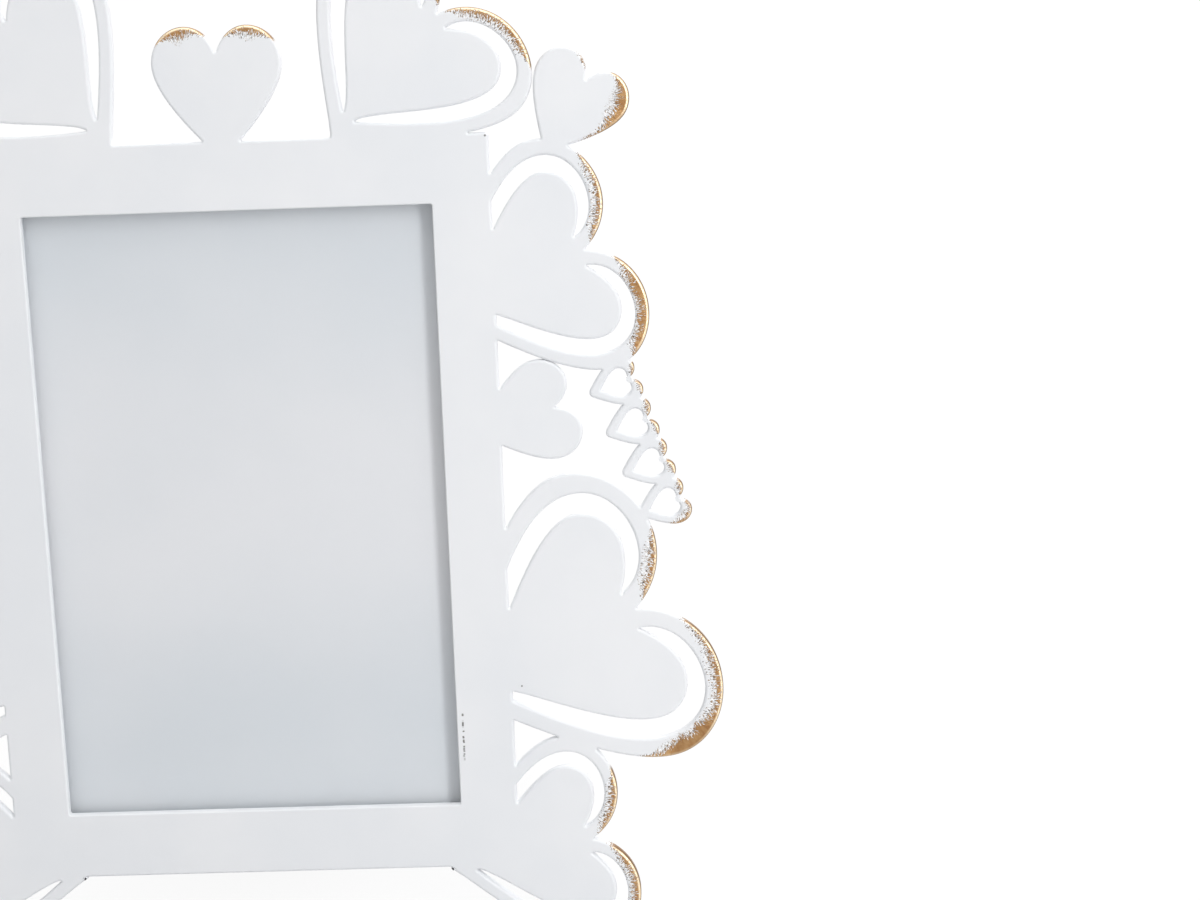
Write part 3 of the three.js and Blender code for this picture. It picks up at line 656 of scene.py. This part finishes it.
def float_glass(add):
    """Picture glass: clear, flat and glossy, with the faint green of soda lime."""
    place = add("TexCoord", out="Object")
    smear = add("TexNoise", {"Vector": place, "Scale": grain(28), "Detail": 3}, "Fac")
    smear = add("MapRange", (smear, 0.35, 0.75, 0.02, 0.07), **SMOOTH)
    clear = add("BsdfTransparent", {"Color": "#FDFEFE"})
    shine = add("BsdfGlossy", {"Color": "#FFFFFF", "Roughness": smear})
    # The glass is drawn without bending light, so both faces' reflections are drawn on the one entered.
    behind = add("NewGeometry", out="Backfacing")
    outside = add("Math", (1.0, behind), operation="SUBTRACT")
    facing = add("Fresnel", {"IOR": 1.52})
    for share in (1.8, outside):
        facing = add("Math", (facing, share), **TIMES)
    facing = add("Math", (facing, 1.0), operation="MINIMUM")
    return add("MixShader", (facing, clear, shine))


# The middle of the paper, and how far from it the pool of light painted there fades to the paper's own tone
PAPER_MIDDLE = 110
PALE_SPAN = (60, 10)


def coated_paper(add):
    """Smooth pale blue-grey paper with a very fine fibre and a few specks. A pool of light is painted
    on its middle, which makes it paler there."""
    place = add("TexCoord", out="Object")
    fibre, cloud = (
        add("TexNoise", {"Vector": place, "Scale": grain(size), "Detail": detail}, "Fac")
        for size, detail in ((0.5, 3), (45, 2))
    )
    height = add("SeparateXYZ", [place], 2)
    # Painted light: paler across the middle of the sheet's height, fading out above and below.
    away = add("Math", (height, PAPER_MIDDLE * MM), operation="SUBTRACT")
    away = add("Math", (away,), operation="ABSOLUTE")
    middle = add("MapRange", (away, *[span * MM for span in PALE_SPAN]), **SMOOTH)
    middle = add("Math", (middle, 0.7), **TIMES)
    cloud = add("MapRange", (cloud, 0.3, 0.7), **SMOOTH)
    pale = add("Math", (cloud, 0.3, middle), operation="MULTIPLY_ADD")
    base = add("Mix", {0: pale, 6: "#DFE1E6", 7: "#EEECEF"}, **BLEND)
    base = dusted(add, place, base, 7, (0.012, 0.028), 11, 0.60, 0.5, "#8C9094")
    relief = add("Bump", {"Height": fibre, "Distance": 0.01 * MM})
    return add("BsdfPrincipled", {"Base Color": base, "Roughness": 0.62, "Normal": relief})


def chipboard(add):
    """Grey filler card of pulped paper: dull, with coarse fibres and darker shreds."""
    place = add("TexCoord", out="Object")
    fibre, shred = (
        add("TexNoise", {
            "Vector": place, "Scale": grain(size), "Detail": detail, "Roughness": rough,
        }, "Fac")
        for size, detail, rough in ((0.8, 4, 0.65), (2.5, 2, 0.5))
    )
    base = toned(add, "#A79F90", "#BDB6A8", fibre, 0.35, 0.65)
    base = toned(add, base, "#7C766B", shred, 0.62, 0.7, 0, 0.5)
    relief = add("Bump", {"Height": fibre, "Distance": 0.05 * MM})
    return add("BsdfPrincipled", {"Base Color": base, "Roughness": 0.92, "Normal": relief})


def flocked_board(add):
    """Fibreboard under black flock: no gloss, a short nap that catches light at a slant, and paths
    where the nap was stroked. The nap is drawn at 0.35 mm, coarser than real, so that it shows."""
    place = add("TexCoord", out="Object")
    nap, stroke, lint = (
        add("TexNoise", {
            "Vector": place, "Scale": grain(size), "Detail": detail, "Roughness": rough,
        }, "Fac")
        for size, detail, rough in ((0.35, 2, 0.7), (18, 3, 0.6), (1.1, 0, 0.5))
    )
    base = toned(add, "#161618", "#26262A", nap, 0.3, 0.7)
    base = toned(add, base, "#333338", stroke, 0.45, 0.7, 0, 0.55)
    base = toned(add, base, "#77777C", lint, 0.80, 0.84, 0, 0.35)
    return add("BsdfPrincipled", {
        "Base Color": base,
        "Roughness": 0.95,
        "Sheen Weight": 0.45,
        "Sheen Roughness": 0.5,
        "Normal": add("Bump", {"Height": nap, "Distance": 0.12 * MM}),
    })


def zinc_plated(add):
    """Pressed steel, bright zinc plated: a cool grey metal with rolling lines, a little cloudy and
    scuffed, faintly yellow where the passivation is thick."""
    place = add("TexCoord", out="Object")
    cloud = add("TexNoise", {"Vector": place, "Scale": grain(4), "Detail": 3}, "Fac")
    stretched = add("VectorMath", (place, (0.12, 1, 1)), **TIMES)
    lines = add("TexNoise", {"Vector": stretched, "Scale": grain(0.25)}, "Fac")
    rough = add("Math", (lines, 0.5, cloud), operation="MULTIPLY_ADD")
    return add("BsdfPrincipled", {
        "Base Color": toned(add, "#AEB2B7", "#BDBCB6", cloud, 0.35, 0.65),
        "Metallic": 1.0,
        "Roughness": add("MapRange", (rough, 0.55, 1.0, 0.24, 0.42), **SMOOTH),
        "Normal": add("Bump", {"Height": lines, "Distance": 0.01 * MM}),
    })


GOLD_PAINT = new_material("satin_lacquer_gold_brushed", gold_brushed_lacquer)
PAINT = new_material("satin_lacquer", satin_lacquer)
GLASS = new_material("float_glass", float_glass)
PAPER = new_material("coated_paper", coated_paper)
CARD = new_material("grey_chipboard", chipboard)
FLOCK = new_material("flocked_fibreboard", flocked_board)
ZINC = new_material("zinc_plated_steel", zinc_plated)


# The heart plate

# The brush went down each side from above: it took the edges that face outwards, from those that
# face up at BRUSH_TOP to those that face down at BRUSH_BOTTOM, in degrees above level, where no other
# part of the plate stood in its way. TOP_BEARING is how far it was turned for the top row of hearts.
BRUSH_TOP = 64
BRUSH_BOTTOM = -100
TOP_BEARING = 75

# How far in the paint goes: solid gold, more of it where a lobe turns under, and specks past it
SOLID_WIDTH = 1.9
UNDER_WIDTH = 1.7
FRINGE_WIDTH = 3.4
FRINGE_END = 5.4
BACK_WRAP = 1.1
BRUSH_BLUR = 3
BRUSH_MARGIN = 9
LEAST_LOBE = 2.5
LEAST_FRINGE = 0.02

# Face points: their spacing near the gold and elsewhere
GRIDS = ((1.1, True), (5.0, False))


def fade(value, low, high):
    share = np.clip((value - low) / (high - low), 0, 1)
    return share * share * (3 - 2 * share)


def free_paths(points, ways, outline):
    """How far each point sees along its way before the outline stops it."""
    side = np.roll(outline, -1, 0) - outline
    across = ways[:, None, 0] * side[None, :, 1] - ways[:, None, 1] * side[None, :, 0]
    across = np.where(np.abs(across) < 1e-9, 1e-9, across)
    gap = outline[None] - points[:, None]
    run = (gap[:, :, 0] * side[None, :, 1] - gap[:, :, 1] * side[None, :, 0]) / across
    at = (gap[:, :, 0] * ways[:, None, 1] - gap[:, :, 1] * ways[:, None, 0]) / across
    return np.where((at >= 0) & (at <= 1) & (run > 0.3), run, 1e3).min(1)


def smoothed(values, along, total):
    """Values along the closed outline, each averaged with its neighbours for some BRUSH_BLUR around."""
    gap = np.abs(along[:, None] - along[None])
    weight = np.exp(-(np.minimum(gap, total - gap) / BRUSH_BLUR) ** 2)
    share = np.diff(np.append(along, total))
    weight *= share
    return weight @ values / weight.sum(1)


def brushed_samples(outline, inner_corner):
    """Along the outer outline: each point's place along it, how far in the gold is solid there, how far
    in its specks go, and how much painted highlight its arris takes, less where it faces down."""
    step = np.linalg.norm(np.roll(outline, -1, 0) - outline, axis=1)
    along, total = np.concatenate([[0], np.cumsum(step)[:-1]]), step.sum()
    out = unit(-inward(outline))
    aside, height = np.abs(outline[:, 0]), outline[:, 1]
    level = np.degrees(np.arctan2(out[:, 1], np.where(outline[:, 0] >= 0, 1, -1) * out[:, 0]))
    # Over the top row of hearts the brush came from above.
    level -= TOP_BEARING * fade(height, BAND_TOP + 6, BAND_TOP + 20) * (1 - fade(aside, 58, 70))
    level = (level + 180) % 360 - 180
    notches = np.concatenate([along[inner_corner], along[inner_corner] + total])
    next_notch = notches[np.searchsorted(notches, along).clip(max=len(notches) - 1)] - along
    last_notch = along + total - notches[np.searchsorted(notches, along + total) - 1]
    gap = np.minimum(next_notch, last_notch)
    lobe = next_notch + last_notch
    path = free_paths(outline, out, outline)
    wave = 0.5 + 0.3 * np.sin(along / 8.3) + 0.2 * np.sin(along / 3.1 + 2)

    on_heart = (lobe > LEAST_LOBE) * np.maximum(fade(aside, BAND_SIDE, BAND_SIDE + 3), height > BAND_TOP + 4)
    reached = fade(level, BRUSH_BOTTOM, BRUSH_BOTTOM + 16) * (1 - fade(level, BRUSH_TOP - 22, BRUSH_TOP))
    reached *= on_heart * fade(path, 12, 30)
    # The brush dug deepest where the broadest lobes turn under.
    under = fade(-level, 12, 45) * (1 - fade(-level, 62, 100)) * fade(gap, 6, 16) * fade(lobe, 40, 60)
    solid = fade(level, BRUSH_BOTTOM, BRUSH_BOTTOM + 24) * (1 - fade(level, 22, BRUSH_TOP))
    solid *= on_heart * fade(path, 20, 45)
    # The short lobes took less paint than the broad ones.
    loaded = (0.42 + 0.58 * fade(lobe, 20, 36)) * (1 - 0.2 * fade(lobe, 40, 60))
    solid = smoothed(solid * (SOLID_WIDTH * (0.5 + wave) * loaded + UNDER_WIDTH * under), along, total)
    reached = smoothed(reached, along, total) * fade(gap, 0.2, np.clip(0.25 * lobe, 0.6, 2.5))
    solid *= fade(gap, 0.4, np.clip(0.35 * lobe, 1, 6))
    # The tips of the corner hearts stayed nearly clean.
    from_tip = np.where(outline[:, 0] >= 0, last_notch, next_notch)
    clean = fade(aside, 76, 79) * fade(height, 172, 175) * (1 - fade(from_tip, 6, 13))
    solid *= 1 - clean
    reached *= 1 - 0.6 * clean
    solid = np.maximum(solid, 0.3 * reached)
    fringe = FRINGE_WIDTH * (0.7 + 0.5 * wave) + solid
    fringe = reached * np.minimum(fringe, np.maximum(FRINGE_END, solid + 1))
    # The painted highlight on the arris fades as the edge turns to face down, away from the light.
    return along, solid, fringe, 0.3 + 0.7 * fade(level, -50, -15)


def heart_plate():
    outlines, corner_flags = [], []
    for outline in cad_outlines("front_plate", plate_place, 0):
        points, inner_corner = refined(outline)
        outlines.append(points)
        corner_flags.append(inner_corner)
    spans = [np.ptp(outline[:, 0]) for outline in outlines]
    outer = int(np.argmax(spans))
    along, solid, fringe, arris_lit = brushed_samples(outlines[outer], corner_flags[outer])
    brushed = fringe > LEAST_FRINGE
    samples = outlines[outer][brushed]

    # Face points between the outlines, close together where the gold fades over them
    low, high = outlines[outer].min(0), outlines[outer].max(0)
    edge = np.concatenate(outlines)
    grids = []
    for spacing, nearby in GRIDS:
        columns = np.arange(low[0], high[0], spacing)
        rows = np.arange(low[1], high[1], spacing * math.sqrt(0.75))
        x, z = np.meshgrid(columns, rows)
        x = x + np.where(np.arange(len(rows)) % 2, spacing / 2, 0)[:, None]
        grid = np.stack([x.ravel(), z.ravel()], 1)
        distance, _ = nearest(grid, samples)
        grid = grid[(distance < BRUSH_MARGIN) == nearby]
        clear, _ = nearest(grid, edge)
        grids.append(grid[(clear > FACE_ROUND + spacing * 0.45) & inside(grid, outlines)])
    extra = np.concatenate(grids)

    # The window's edge is crisper than the hearts' edges.
    is_window = [abs(np.ptp(outline[:, 0]) - 2 * WINDOW_HALF) < 0.5 for outline in outlines]
    rounds = np.where(is_window, WINDOW_ROUND, FACE_ROUND)
    vertices, faces, normals = sheet_mesh(outlines, 0, PLATE_THICKNESS, rounds, BACK_ROUND, extra)
    distance, index = nearest(vertices[:, [0, 2]], samples)
    # The gold goes in from the outline on the front face, over the side, and a little onto the back,
    # but not down the sides of the openings.
    on_side = distance < FACE_ROUND + 0.1
    depth = np.where(on_side, -1, 1) * vertices[:, 1]
    on_back = fade(vertices[:, 1], PLATE_THICKNESS - BACK_ROUND, PLATE_THICKNESS)
    across = (1 - on_back) * (distance + depth) + on_back * (distance + BACK_WRAP)
    marks = {
        "brush_along": along[brushed][index],
        "brush_across": across,
        "brush_solid": np.where(distance < BRUSH_MARGIN, solid[brushed][index], 0),
        "brush_fringe": np.where(distance < BRUSH_MARGIN, fringe[brushed][index], 0),
        "brush_arris_lit": arris_lit[brushed][index],
        # How much painted highlight the arris takes
        "plate_x": vertices[:, 0],
        "plate_z": vertices[:, 2],
    }
    piece = make_piece(
        "heart_plate", "frame", plate_place, vertices, faces, GOLD_PAINT, normals, marks
    )
    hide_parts("front_plate")


heart_plate()


# Tray rails: a folded channel with mitred ends

def soften(piece, width):
    """Rounds a piece's hard edges by a bevel."""
    bevel = piece.modifiers.new("worn_edges", "BEVEL")
    bevel.width = width * MM
    bevel.segments = 2
    bevel.limit_method = "ANGLE"
    bevel.angle_limit = BEVELLED_EDGE
    bevel.harden_normals = True


def rail_section():
    """The channel's outline, as (distance outwards from the wall's inside, depth)."""
    front, back = RAIL_FRONT, BOARD_BACK
    inner = BEND_RADIUS - RAIL_SHEET
    steps = 6

    def bend(middle_depth, radius, first, last):
        angles = np.radians(np.linspace(first, last, steps + 1))
        return [(BEND_RADIUS + radius * math.cos(a), middle_depth + radius * math.sin(a)) for a in angles]

    return [
        (RAIL_FLANGE, front),
        (RAIL_FLANGE, front + RAIL_SHEET),
        *bend(front + BEND_RADIUS, inner, -90, -180),
        *bend(back - BEND_RADIUS, inner, 180, 90),
        (RAIL_FLANGE, back - RAIL_SHEET),
        (RAIL_FLANGE, back),
        *bend(back - BEND_RADIUS, BEND_RADIUS, 90, 180),
        *bend(front + BEND_RADIUS, BEND_RADIUS, 180, 270),
    ]


def rail(name, degrees, wall, half_length):
    section = rail_section()
    count = len(section)
    vertices = []
    for end in (-1, 1):
        for outwards, depth in section:
            vertices.append((end * (half_length + outwards - MITRE_GAP), depth, -wall - outwards))
    faces = [(i, (i + 1) % count, (i + 1) % count + count, i + count) for i in range(count)]
    faces += [tuple(reversed(range(count))), tuple(range(count, 2 * count))]
    place = plate_place @ shift(0, 0, MIDDLE_HEIGHT) @ turn(math.radians(-degrees), "Y")
    piece = make_piece(name + "_channel", "frame", place, vertices, faces, PAINT)
    soften(piece, 0.15)
    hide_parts(name)


for rail_name, degrees, wall, half_length in (
    ("rail_bottom", 0, WALL_Z, WALL_X),
    ("rail_top", 180, WALL_Z, WALL_X),
    ("rail_right", 90, WALL_X, WALL_Z),
    ("rail_left", -90, WALL_X, WALL_Z),
):
    rail(rail_name, degrees, wall, half_length)


# Panels in the tray

for panel_name, panel_material in (("glass_pane", GLASS), ("blank_insert", PAPER), ("filler_card", CARD)):
    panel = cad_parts[panel_name]
    panel.data.materials.clear()
    panel.data.materials.append(panel_material)
soften(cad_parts["glass_pane"], 0.3)


def flocked_sheet(name, node, body, place, front, back):
    outlines = [refined(outline)[0] for outline in cad_outlines(node, place, front)]
    vertices, faces, normals = sheet_mesh(outlines, front, back, BOARD_ROUND, BOARD_ROUND, steps=3)
    piece = make_piece(name, body, place, vertices, faces, FLOCK, normals)
    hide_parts(node)


flocked_sheet("flocked_back_board", "back_board", "frame", plate_place, BOARD_FRONT, BOARD_BACK)
flocked_sheet("flocked_easel_leg", "easel_leg", "leg", leg_place, LEG_FRONT, LEG_BACK)


# Hardware

ROUND_STEP = math.radians(9)


def arc_points(x, z, radius, first, last):
    count = max(2, math.ceil(abs(math.radians(last - first)) / ROUND_STEP))
    angles = np.radians(np.linspace(first, last, count + 1))
    return [(x + radius * math.cos(a), z + radius * math.sin(a)) for a in angles]


def zinc_piece(name, node, body, place, *parts):
    vertices, faces = joined(*parts)
    piece = make_piece(name, body, place, vertices, faces, ZINC)
    piece.data.set_sharp_from_angle(angle=HARD_EDGE)
    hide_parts(node)


def rounded_rectangle(left, right, bottom, top, radii):
    """An outline with the radius of each corner given from the lower left, to the left hand round."""
    corners = [
        (left, bottom, 1, 1, 180), (right, bottom, -1, 1, 270),
        (right, top, -1, -1, 0), (left, top, 1, -1, 90),
    ]
    points = []
    for (x, z, dx, dz, first), radius in zip(corners, radii):
        points += arc_points(x + dx * radius, z + dz * radius, radius, first, first + 90)
    return np.array(points)


RIVET_RADIUS = 1.2
RIVET_HEAD_RADIUS = 2.2
RIVET_HEAD_HEIGHT = 1
RIVET_TAIL_RADIUS = 1.8
RIVET_TAIL_HEIGHT = 0.6


def rivet(node, body, place, head_seat, tail_end, spread_tail=False):
    """A domed rivet, its head behind head_seat, with a small flat left on the crown by the set."""
    dome = []
    for a in np.radians(np.linspace(0, 90, 8)):
        rise = RIVET_HEAD_HEIGHT * (0.12 + 0.88 * math.sin(a))
        dome.append((RIVET_HEAD_RADIUS * math.cos(a), head_seat + rise))
    dome[-1] = (0.35, dome[-1][1])
    tail = [(0, tail_end), (RIVET_RADIUS, tail_end)]
    if spread_tail:
        edge = tail_end + RIVET_TAIL_HEIGHT
        tail = [
            (0, tail_end), (RIVET_TAIL_RADIUS - 0.2, tail_end), (RIVET_TAIL_RADIUS, tail_end + 0.2),
            (RIVET_TAIL_RADIUS, edge), (RIVET_RADIUS, edge),
        ]
    head = [(RIVET_RADIUS, head_seat), (RIVET_HEAD_RADIUS - 0.08, head_seat), *dome, (0, dome[-1][1])]
    zinc_piece(node + "_turned", node, body, place, turned_mesh(tail + head))


def tube(radius, bore, left, right):
    """A rolled knuckle along x, its ends slightly broken."""
    edge = 0.12
    profile = [
        (bore, left), (radius - edge, left), (radius, left + edge), (radius, right - edge),
        (radius - edge, right), (bore, right),
    ]
    return along_x(turned_mesh(profile, closed=True))


def steel_sheet(outline, front):
    return sheet_mesh([outline], front, front + LEAF_SHEET, STEEL_ROUND, STEEL_ROUND, steps=2)[:2]


LEAF_HALF = 14
MIDDLE_KNUCKLE_HALF = 6
KNUCKLE_GAP = 0.3
FIXED_LEAF_TOP = 17
MOVING_LEAF_END = -24
HEEL = 4.71
STRAP_HALF = 4.5
STRAP_END = -21
LEAF_CORNER = 2.2
CUT_CORNER = 0.2
LAP = 0.4

side_width = LEAF_HALF - MIDDLE_KNUCKLE_HALF - KNUCKLE_GAP
arm_top = KNUCKLE_RADIUS + KNUCKLE_GAP + LEAF_SHEET
fixed_parts = [steel_sheet(
    rounded_rectangle(-LEAF_HALF, LEAF_HALF, KNUCKLE_RADIUS + KNUCKLE_GAP, FIXED_LEAF_TOP,
                      (CUT_CORNER, CUT_CORNER, LEAF_CORNER, LEAF_CORNER)),
    BOARD_LEAF_FRONT,
)]
for left in (-LEAF_HALF, LEAF_HALF - side_width):
    arm = rounded_rectangle(left, left + side_width, -LAP, arm_top, (CUT_CORNER,) * 4)
    fixed_parts.append(steel_sheet(arm, BOARD_LEAF_FRONT))
    fixed_parts.append(tube(KNUCKLE_RADIUS, KNUCKLE_BORE, left, left + side_width))
zinc_piece("board_hinge_leaf", "hinge_fixed_leaf", "frame", pin_place, *fixed_parts)

moving_outline = rounded_rectangle(
    -MIDDLE_KNUCKLE_HALF, MIDDLE_KNUCKLE_HALF, MOVING_LEAF_END, HEEL, (LEAF_CORNER, LEAF_CORNER, 0.3, 0.3)
)
zinc_piece(
    "leg_hinge_leaf", "hinge_moving_leaf", "leg", leg_place,
    steel_sheet(moving_outline, MOVING_LEAF_FRONT),
    tube(KNUCKLE_RADIUS, KNUCKLE_BORE, -MIDDLE_KNUCKLE_HALF, MIDDLE_KNUCKLE_HALF),
)

strap_outline = rounded_rectangle(
    -STRAP_HALF, STRAP_HALF, STRAP_END, 0.3, (LEAF_CORNER, LEAF_CORNER, CUT_CORNER, CUT_CORNER)
)
zinc_piece(
    "ring_strap", "hanger_strap", "frame", hanger_place,
    steel_sheet(strap_outline, BOARD_LEAF_FRONT),
    tube(KNUCKLE_RADIUS, KNUCKLE_BORE, -STRAP_HALF, STRAP_HALF),
)

# Hinge pin: a wire with one upset head
PIN_HALF = 14.3
pin_profile = [
    (0, -PIN_HALF - 1), (1.5, -PIN_HALF - 1), (1.8, -PIN_HALF - 0.75), (1.8, -PIN_HALF - 0.2),
    (1.6, -PIN_HALF), (WIRE_RADIUS, -PIN_HALF), (WIRE_RADIUS, PIN_HALF - 0.25),
    (WIRE_RADIUS - 0.25, PIN_HALF), (0, PIN_HALF),
]
zinc_piece("hinge_pin_wire", "hinge_pin", "frame", pin_place, along_x(turned_mesh(pin_profile)))

# Rivets
LEAF_RIVET_SEAT = BOARD_LEAF_FRONT + LEAF_SHEET + CLEARANCE
BOARD_RIVET_TAIL = BOARD_FRONT - PIN_DEPTH + CLEARANCE
for name, x in (("board_rivet_left", -9), ("board_rivet_right", 9)):
    rivet(name, "frame", pin_place @ shift(x, 0, 12), LEAF_RIVET_SEAT, BOARD_RIVET_TAIL)
for name, z in (("strap_rivet_upper", -7.1), ("strap_rivet_lower", -17)):
    rivet(name, "frame", hanger_place @ shift(0, 0, z), LEAF_RIVET_SEAT, BOARD_RIVET_TAIL)
for name, z in (("leg_rivet_upper", -7.1), ("leg_rivet_lower", -19)):
    rivet(name, "leg", leg_place @ shift(0, 0, z), KNUCKLE_RADIUS + CLEARANCE, LEG_FRONT + CLEARANCE)

# Turn buttons: pressed tabs with a raised rib for the finger
BUTTON_HALF = 3.8
BUTTON_REACH = 15
RIB_START, RIB_END, RIB_HALF, RIB_HEIGHT = -11.2, -6.2, 1.5, 0.45
RIB_GRID = 0.35


def turn_button(node, body, place):
    far = -BUTTON_REACH + BUTTON_HALF
    outline = np.array(arc_points(0, 0, BUTTON_HALF, -90, 90) + arc_points(far, 0, BUTTON_HALF, 90, 270))
    x, z = np.meshgrid(np.arange(RIB_START - 2, RIB_END + 2, RIB_GRID), np.arange(-2.8, 2.81, RIB_GRID))
    extra = np.stack([x.ravel(), z.ravel()], 1)
    extra = extra[inside(extra, [outline * 0.93])]
    vertices, faces, _ = sheet_mesh(
        [outline], BUTTON_FRONT, BUTTON_BACK, STEEL_ROUND, STEEL_ROUND, extra, steps=3
    )
    along = np.clip(vertices[:, 0], RIB_START, RIB_END)
    away = np.hypot(vertices[:, 0] - along, vertices[:, 2])
    vertices[:, 1] += RIB_HEIGHT * (1 - fade(away, RIB_HALF * 0.25, RIB_HALF))
    zinc_piece(node + "_tab", node, body, place, (vertices, faces))


for side_name, side in (("right", 1), ("left", -1)):
    for level_name, level in (("upper", 1), ("lower", -1)):
        spot = plate_place @ shift(side * BUTTON_X, 0, MIDDLE_HEIGHT + level * BUTTON_RISE)
        tail = BOARD_BACK - RAIL_SHEET - CLEARANCE - RIVET_TAIL_HEIGHT
        ending = level_name + "_" + side_name
        rivet("button_rivet_" + ending, "frame", spot, BUTTON_BACK + CLEARANCE, tail, True)
        facing = turn(0 if side == 1 else math.pi, "Y")
        turn_button("turn_button_" + ending, "button_" + ending, spot @ facing)

# Hanger ring: one round wire bent to a D
RING_RADIUS = 8
RING_LEG = 4
RING_BEND = 1.6
WIRE_SIDES = 20


def ring_path():
    inner = RING_RADIUS - RING_BEND
    path = arc_points(inner, -RING_BEND, RING_BEND, 90, 0)
    path += arc_points(0, -RING_LEG, RING_RADIUS, 0, -180)
    path += arc_points(-inner, -RING_BEND, RING_BEND, 180, 90)
    return np.array(path)


def wire_mesh(path, radius):
    """A round wire along a closed path in the x-z plane."""
    out = unit(inward(path))
    vertices, faces = [], []
    for point, way in zip(path, out):
        for k in range(WIRE_SIDES):
            a = 2 * math.pi * k / WIRE_SIDES
            flat = point + radius * math.cos(a) * way
            vertices.append((flat[0], radius * math.sin(a), flat[1]))
    count = len(path)
    for i in range(count):
        j = (i + 1) % count
        for k in range(WIRE_SIDES):
            n = (k + 1) % WIRE_SIDES
            faces.append(tuple(ring * WIRE_SIDES + side for ring, side in ((i, k), (j, k), (j, n), (i, n))))
    return vertices, faces


zinc_piece("hanger_ring_wire", "hanger_ring", "ring", ring_place, wire_mesh(ring_path(), WIRE_RADIUS))


# Camera, from the photograph's perspective of the window and the hearts

FOCAL_PIXELS = 2200
IMAGE_WIDTH = 1200
CAMERA_AZIMUTH = math.radians(1.32)
CAMERA_ELEVATION = math.radians(24.54)
CAMERA_ROLL = math.radians(-2.35)
CAMERA_DISTANCE = 519.4
CAMERA_TARGET = (84.93, 0, 102.84)

look = Vector((
    -math.sin(CAMERA_AZIMUTH) * math.cos(CAMERA_ELEVATION),
    math.cos(CAMERA_AZIMUTH) * math.cos(CAMERA_ELEVATION),
    -math.sin(CAMERA_ELEVATION),
))
level_right = Vector((math.cos(CAMERA_AZIMUTH), math.sin(CAMERA_AZIMUTH), 0))
level_up = level_right.cross(look)
right = math.cos(CAMERA_ROLL) * level_right + math.sin(CAMERA_ROLL) * level_up
up = math.cos(CAMERA_ROLL) * level_up - math.sin(CAMERA_ROLL) * level_right
eye = (plate_place @ Vector(CAMERA_TARGET) - CAMERA_DISTANCE * look) * MM
camera_data = bpy.data.cameras.new("camera")
camera_data.sensor_width = 36
camera_data.lens = FOCAL_PIXELS / IMAGE_WIDTH * camera_data.sensor_width
camera_data.clip_start = 0.01
camera = bpy.data.objects.new("camera", camera_data)
camera.matrix_world = Matrix.Translation(eye) @ Matrix((right, up, -look)).transposed().to_4x4()
bpy.context.scene.collection.objects.link(camera)
bpy.context.scene.camera = camera


# Light: a tall narrow softbox to the right, which draws the shadow beside the window, broad ones
# overhead and behind, which whiten the edges that face up, and a white room.

WINDOW_MIDDLE = plate_place @ Vector((0, 5, MIDDLE_HEIGHT)) * MM

for name, place, width, height, power in (
    ("strip_softbox", (0.61, -0.71, 0.58), 0.13, 1.1, 5.1),
    ("overhead_softbox", (0.1, -0.1, 1.5), 1.4, 1.2, 6.5),
    ("back_softbox", (0.45, 0.95, 0.85), 1.8, 1.0, 12.0),
):
    softbox = bpy.data.lights.new(name, "AREA")
    softbox.shape = "RECTANGLE"
    softbox.size, softbox.size_y, softbox.energy = width, height, power
    lamp = bpy.data.objects.new(name, softbox)
    lamp.location = place
    lamp.rotation_euler = (WINDOW_MIDDLE - Vector(place)).to_track_quat("-Z", "Y").to_euler()
    bpy.context.scene.collection.objects.link(lamp)


def seen_directly(add):
    """1 for what the camera sees, straight, mirrored or through glass, 0 for light on surfaces."""
    path = add("LightPath").node.outputs
    mirrored = add("Math", (path["Is Glossy Ray"], path["Is Transmission Ray"]), operation="MAXIMUM")
    return add("Math", (path["Is Camera Ray"], mirrored), operation="MAXIMUM")


ROOM_LEVEL = 0.5


def white_room(add):
    """A white room, seen plain white, that lights the frame softly, a little more from above."""
    height = add("SeparateXYZ", [add("TexCoord", out="Generated")], 2)
    walls = add("Background", (toned(add, "#F4F5F7", "#FFFFFF", height, -0.2, 0.8), ROOM_LEVEL))
    return add("MixShader", (seen_directly(add), walls, add("Background", ("#FFFFFF", 1.0))))


bpy.context.scene.world = fill_nodes(bpy.data.worlds.new("white_room"), "OutputWorld", white_room)

# Floor: white sweep that keeps a faint shadow
FLOOR_HALF = 6.0
SHADOW_SHARE = 0.11


def white_sweep(add):
    """White card, lit as it is but seen nearly white, so that only a faint shadow is left on it."""
    seen = seen_directly(add)
    card = add("BsdfDiffuse", [add("Mix", {0: seen, 6: "#CBCBCC", 7: "#FAFAFA"}, **BLEND)])
    share = add("Math", (seen, 1 - SHADOW_SHARE), **TIMES)
    return add("MixShader", (share, card, add("Emission", ("#FFFFFF", 1.0))))


floor_mesh = bpy.data.meshes.new("floor")
floor_mesh.from_pydata(
    [(x * FLOOR_HALF, y * FLOOR_HALF, 0) for x, y in ((-1, -1), (1, -1), (1, 1), (-1, 1))], [], [(0, 1, 2, 3)]
)
floor_mesh.materials.append(new_material("white_sweep", white_sweep))
floor = bpy.data.objects.new("floor", floor_mesh)
bpy.context.scene.collection.objects.link(floor)

bpy.context.scene.view_settings.view_transform = "Standard"
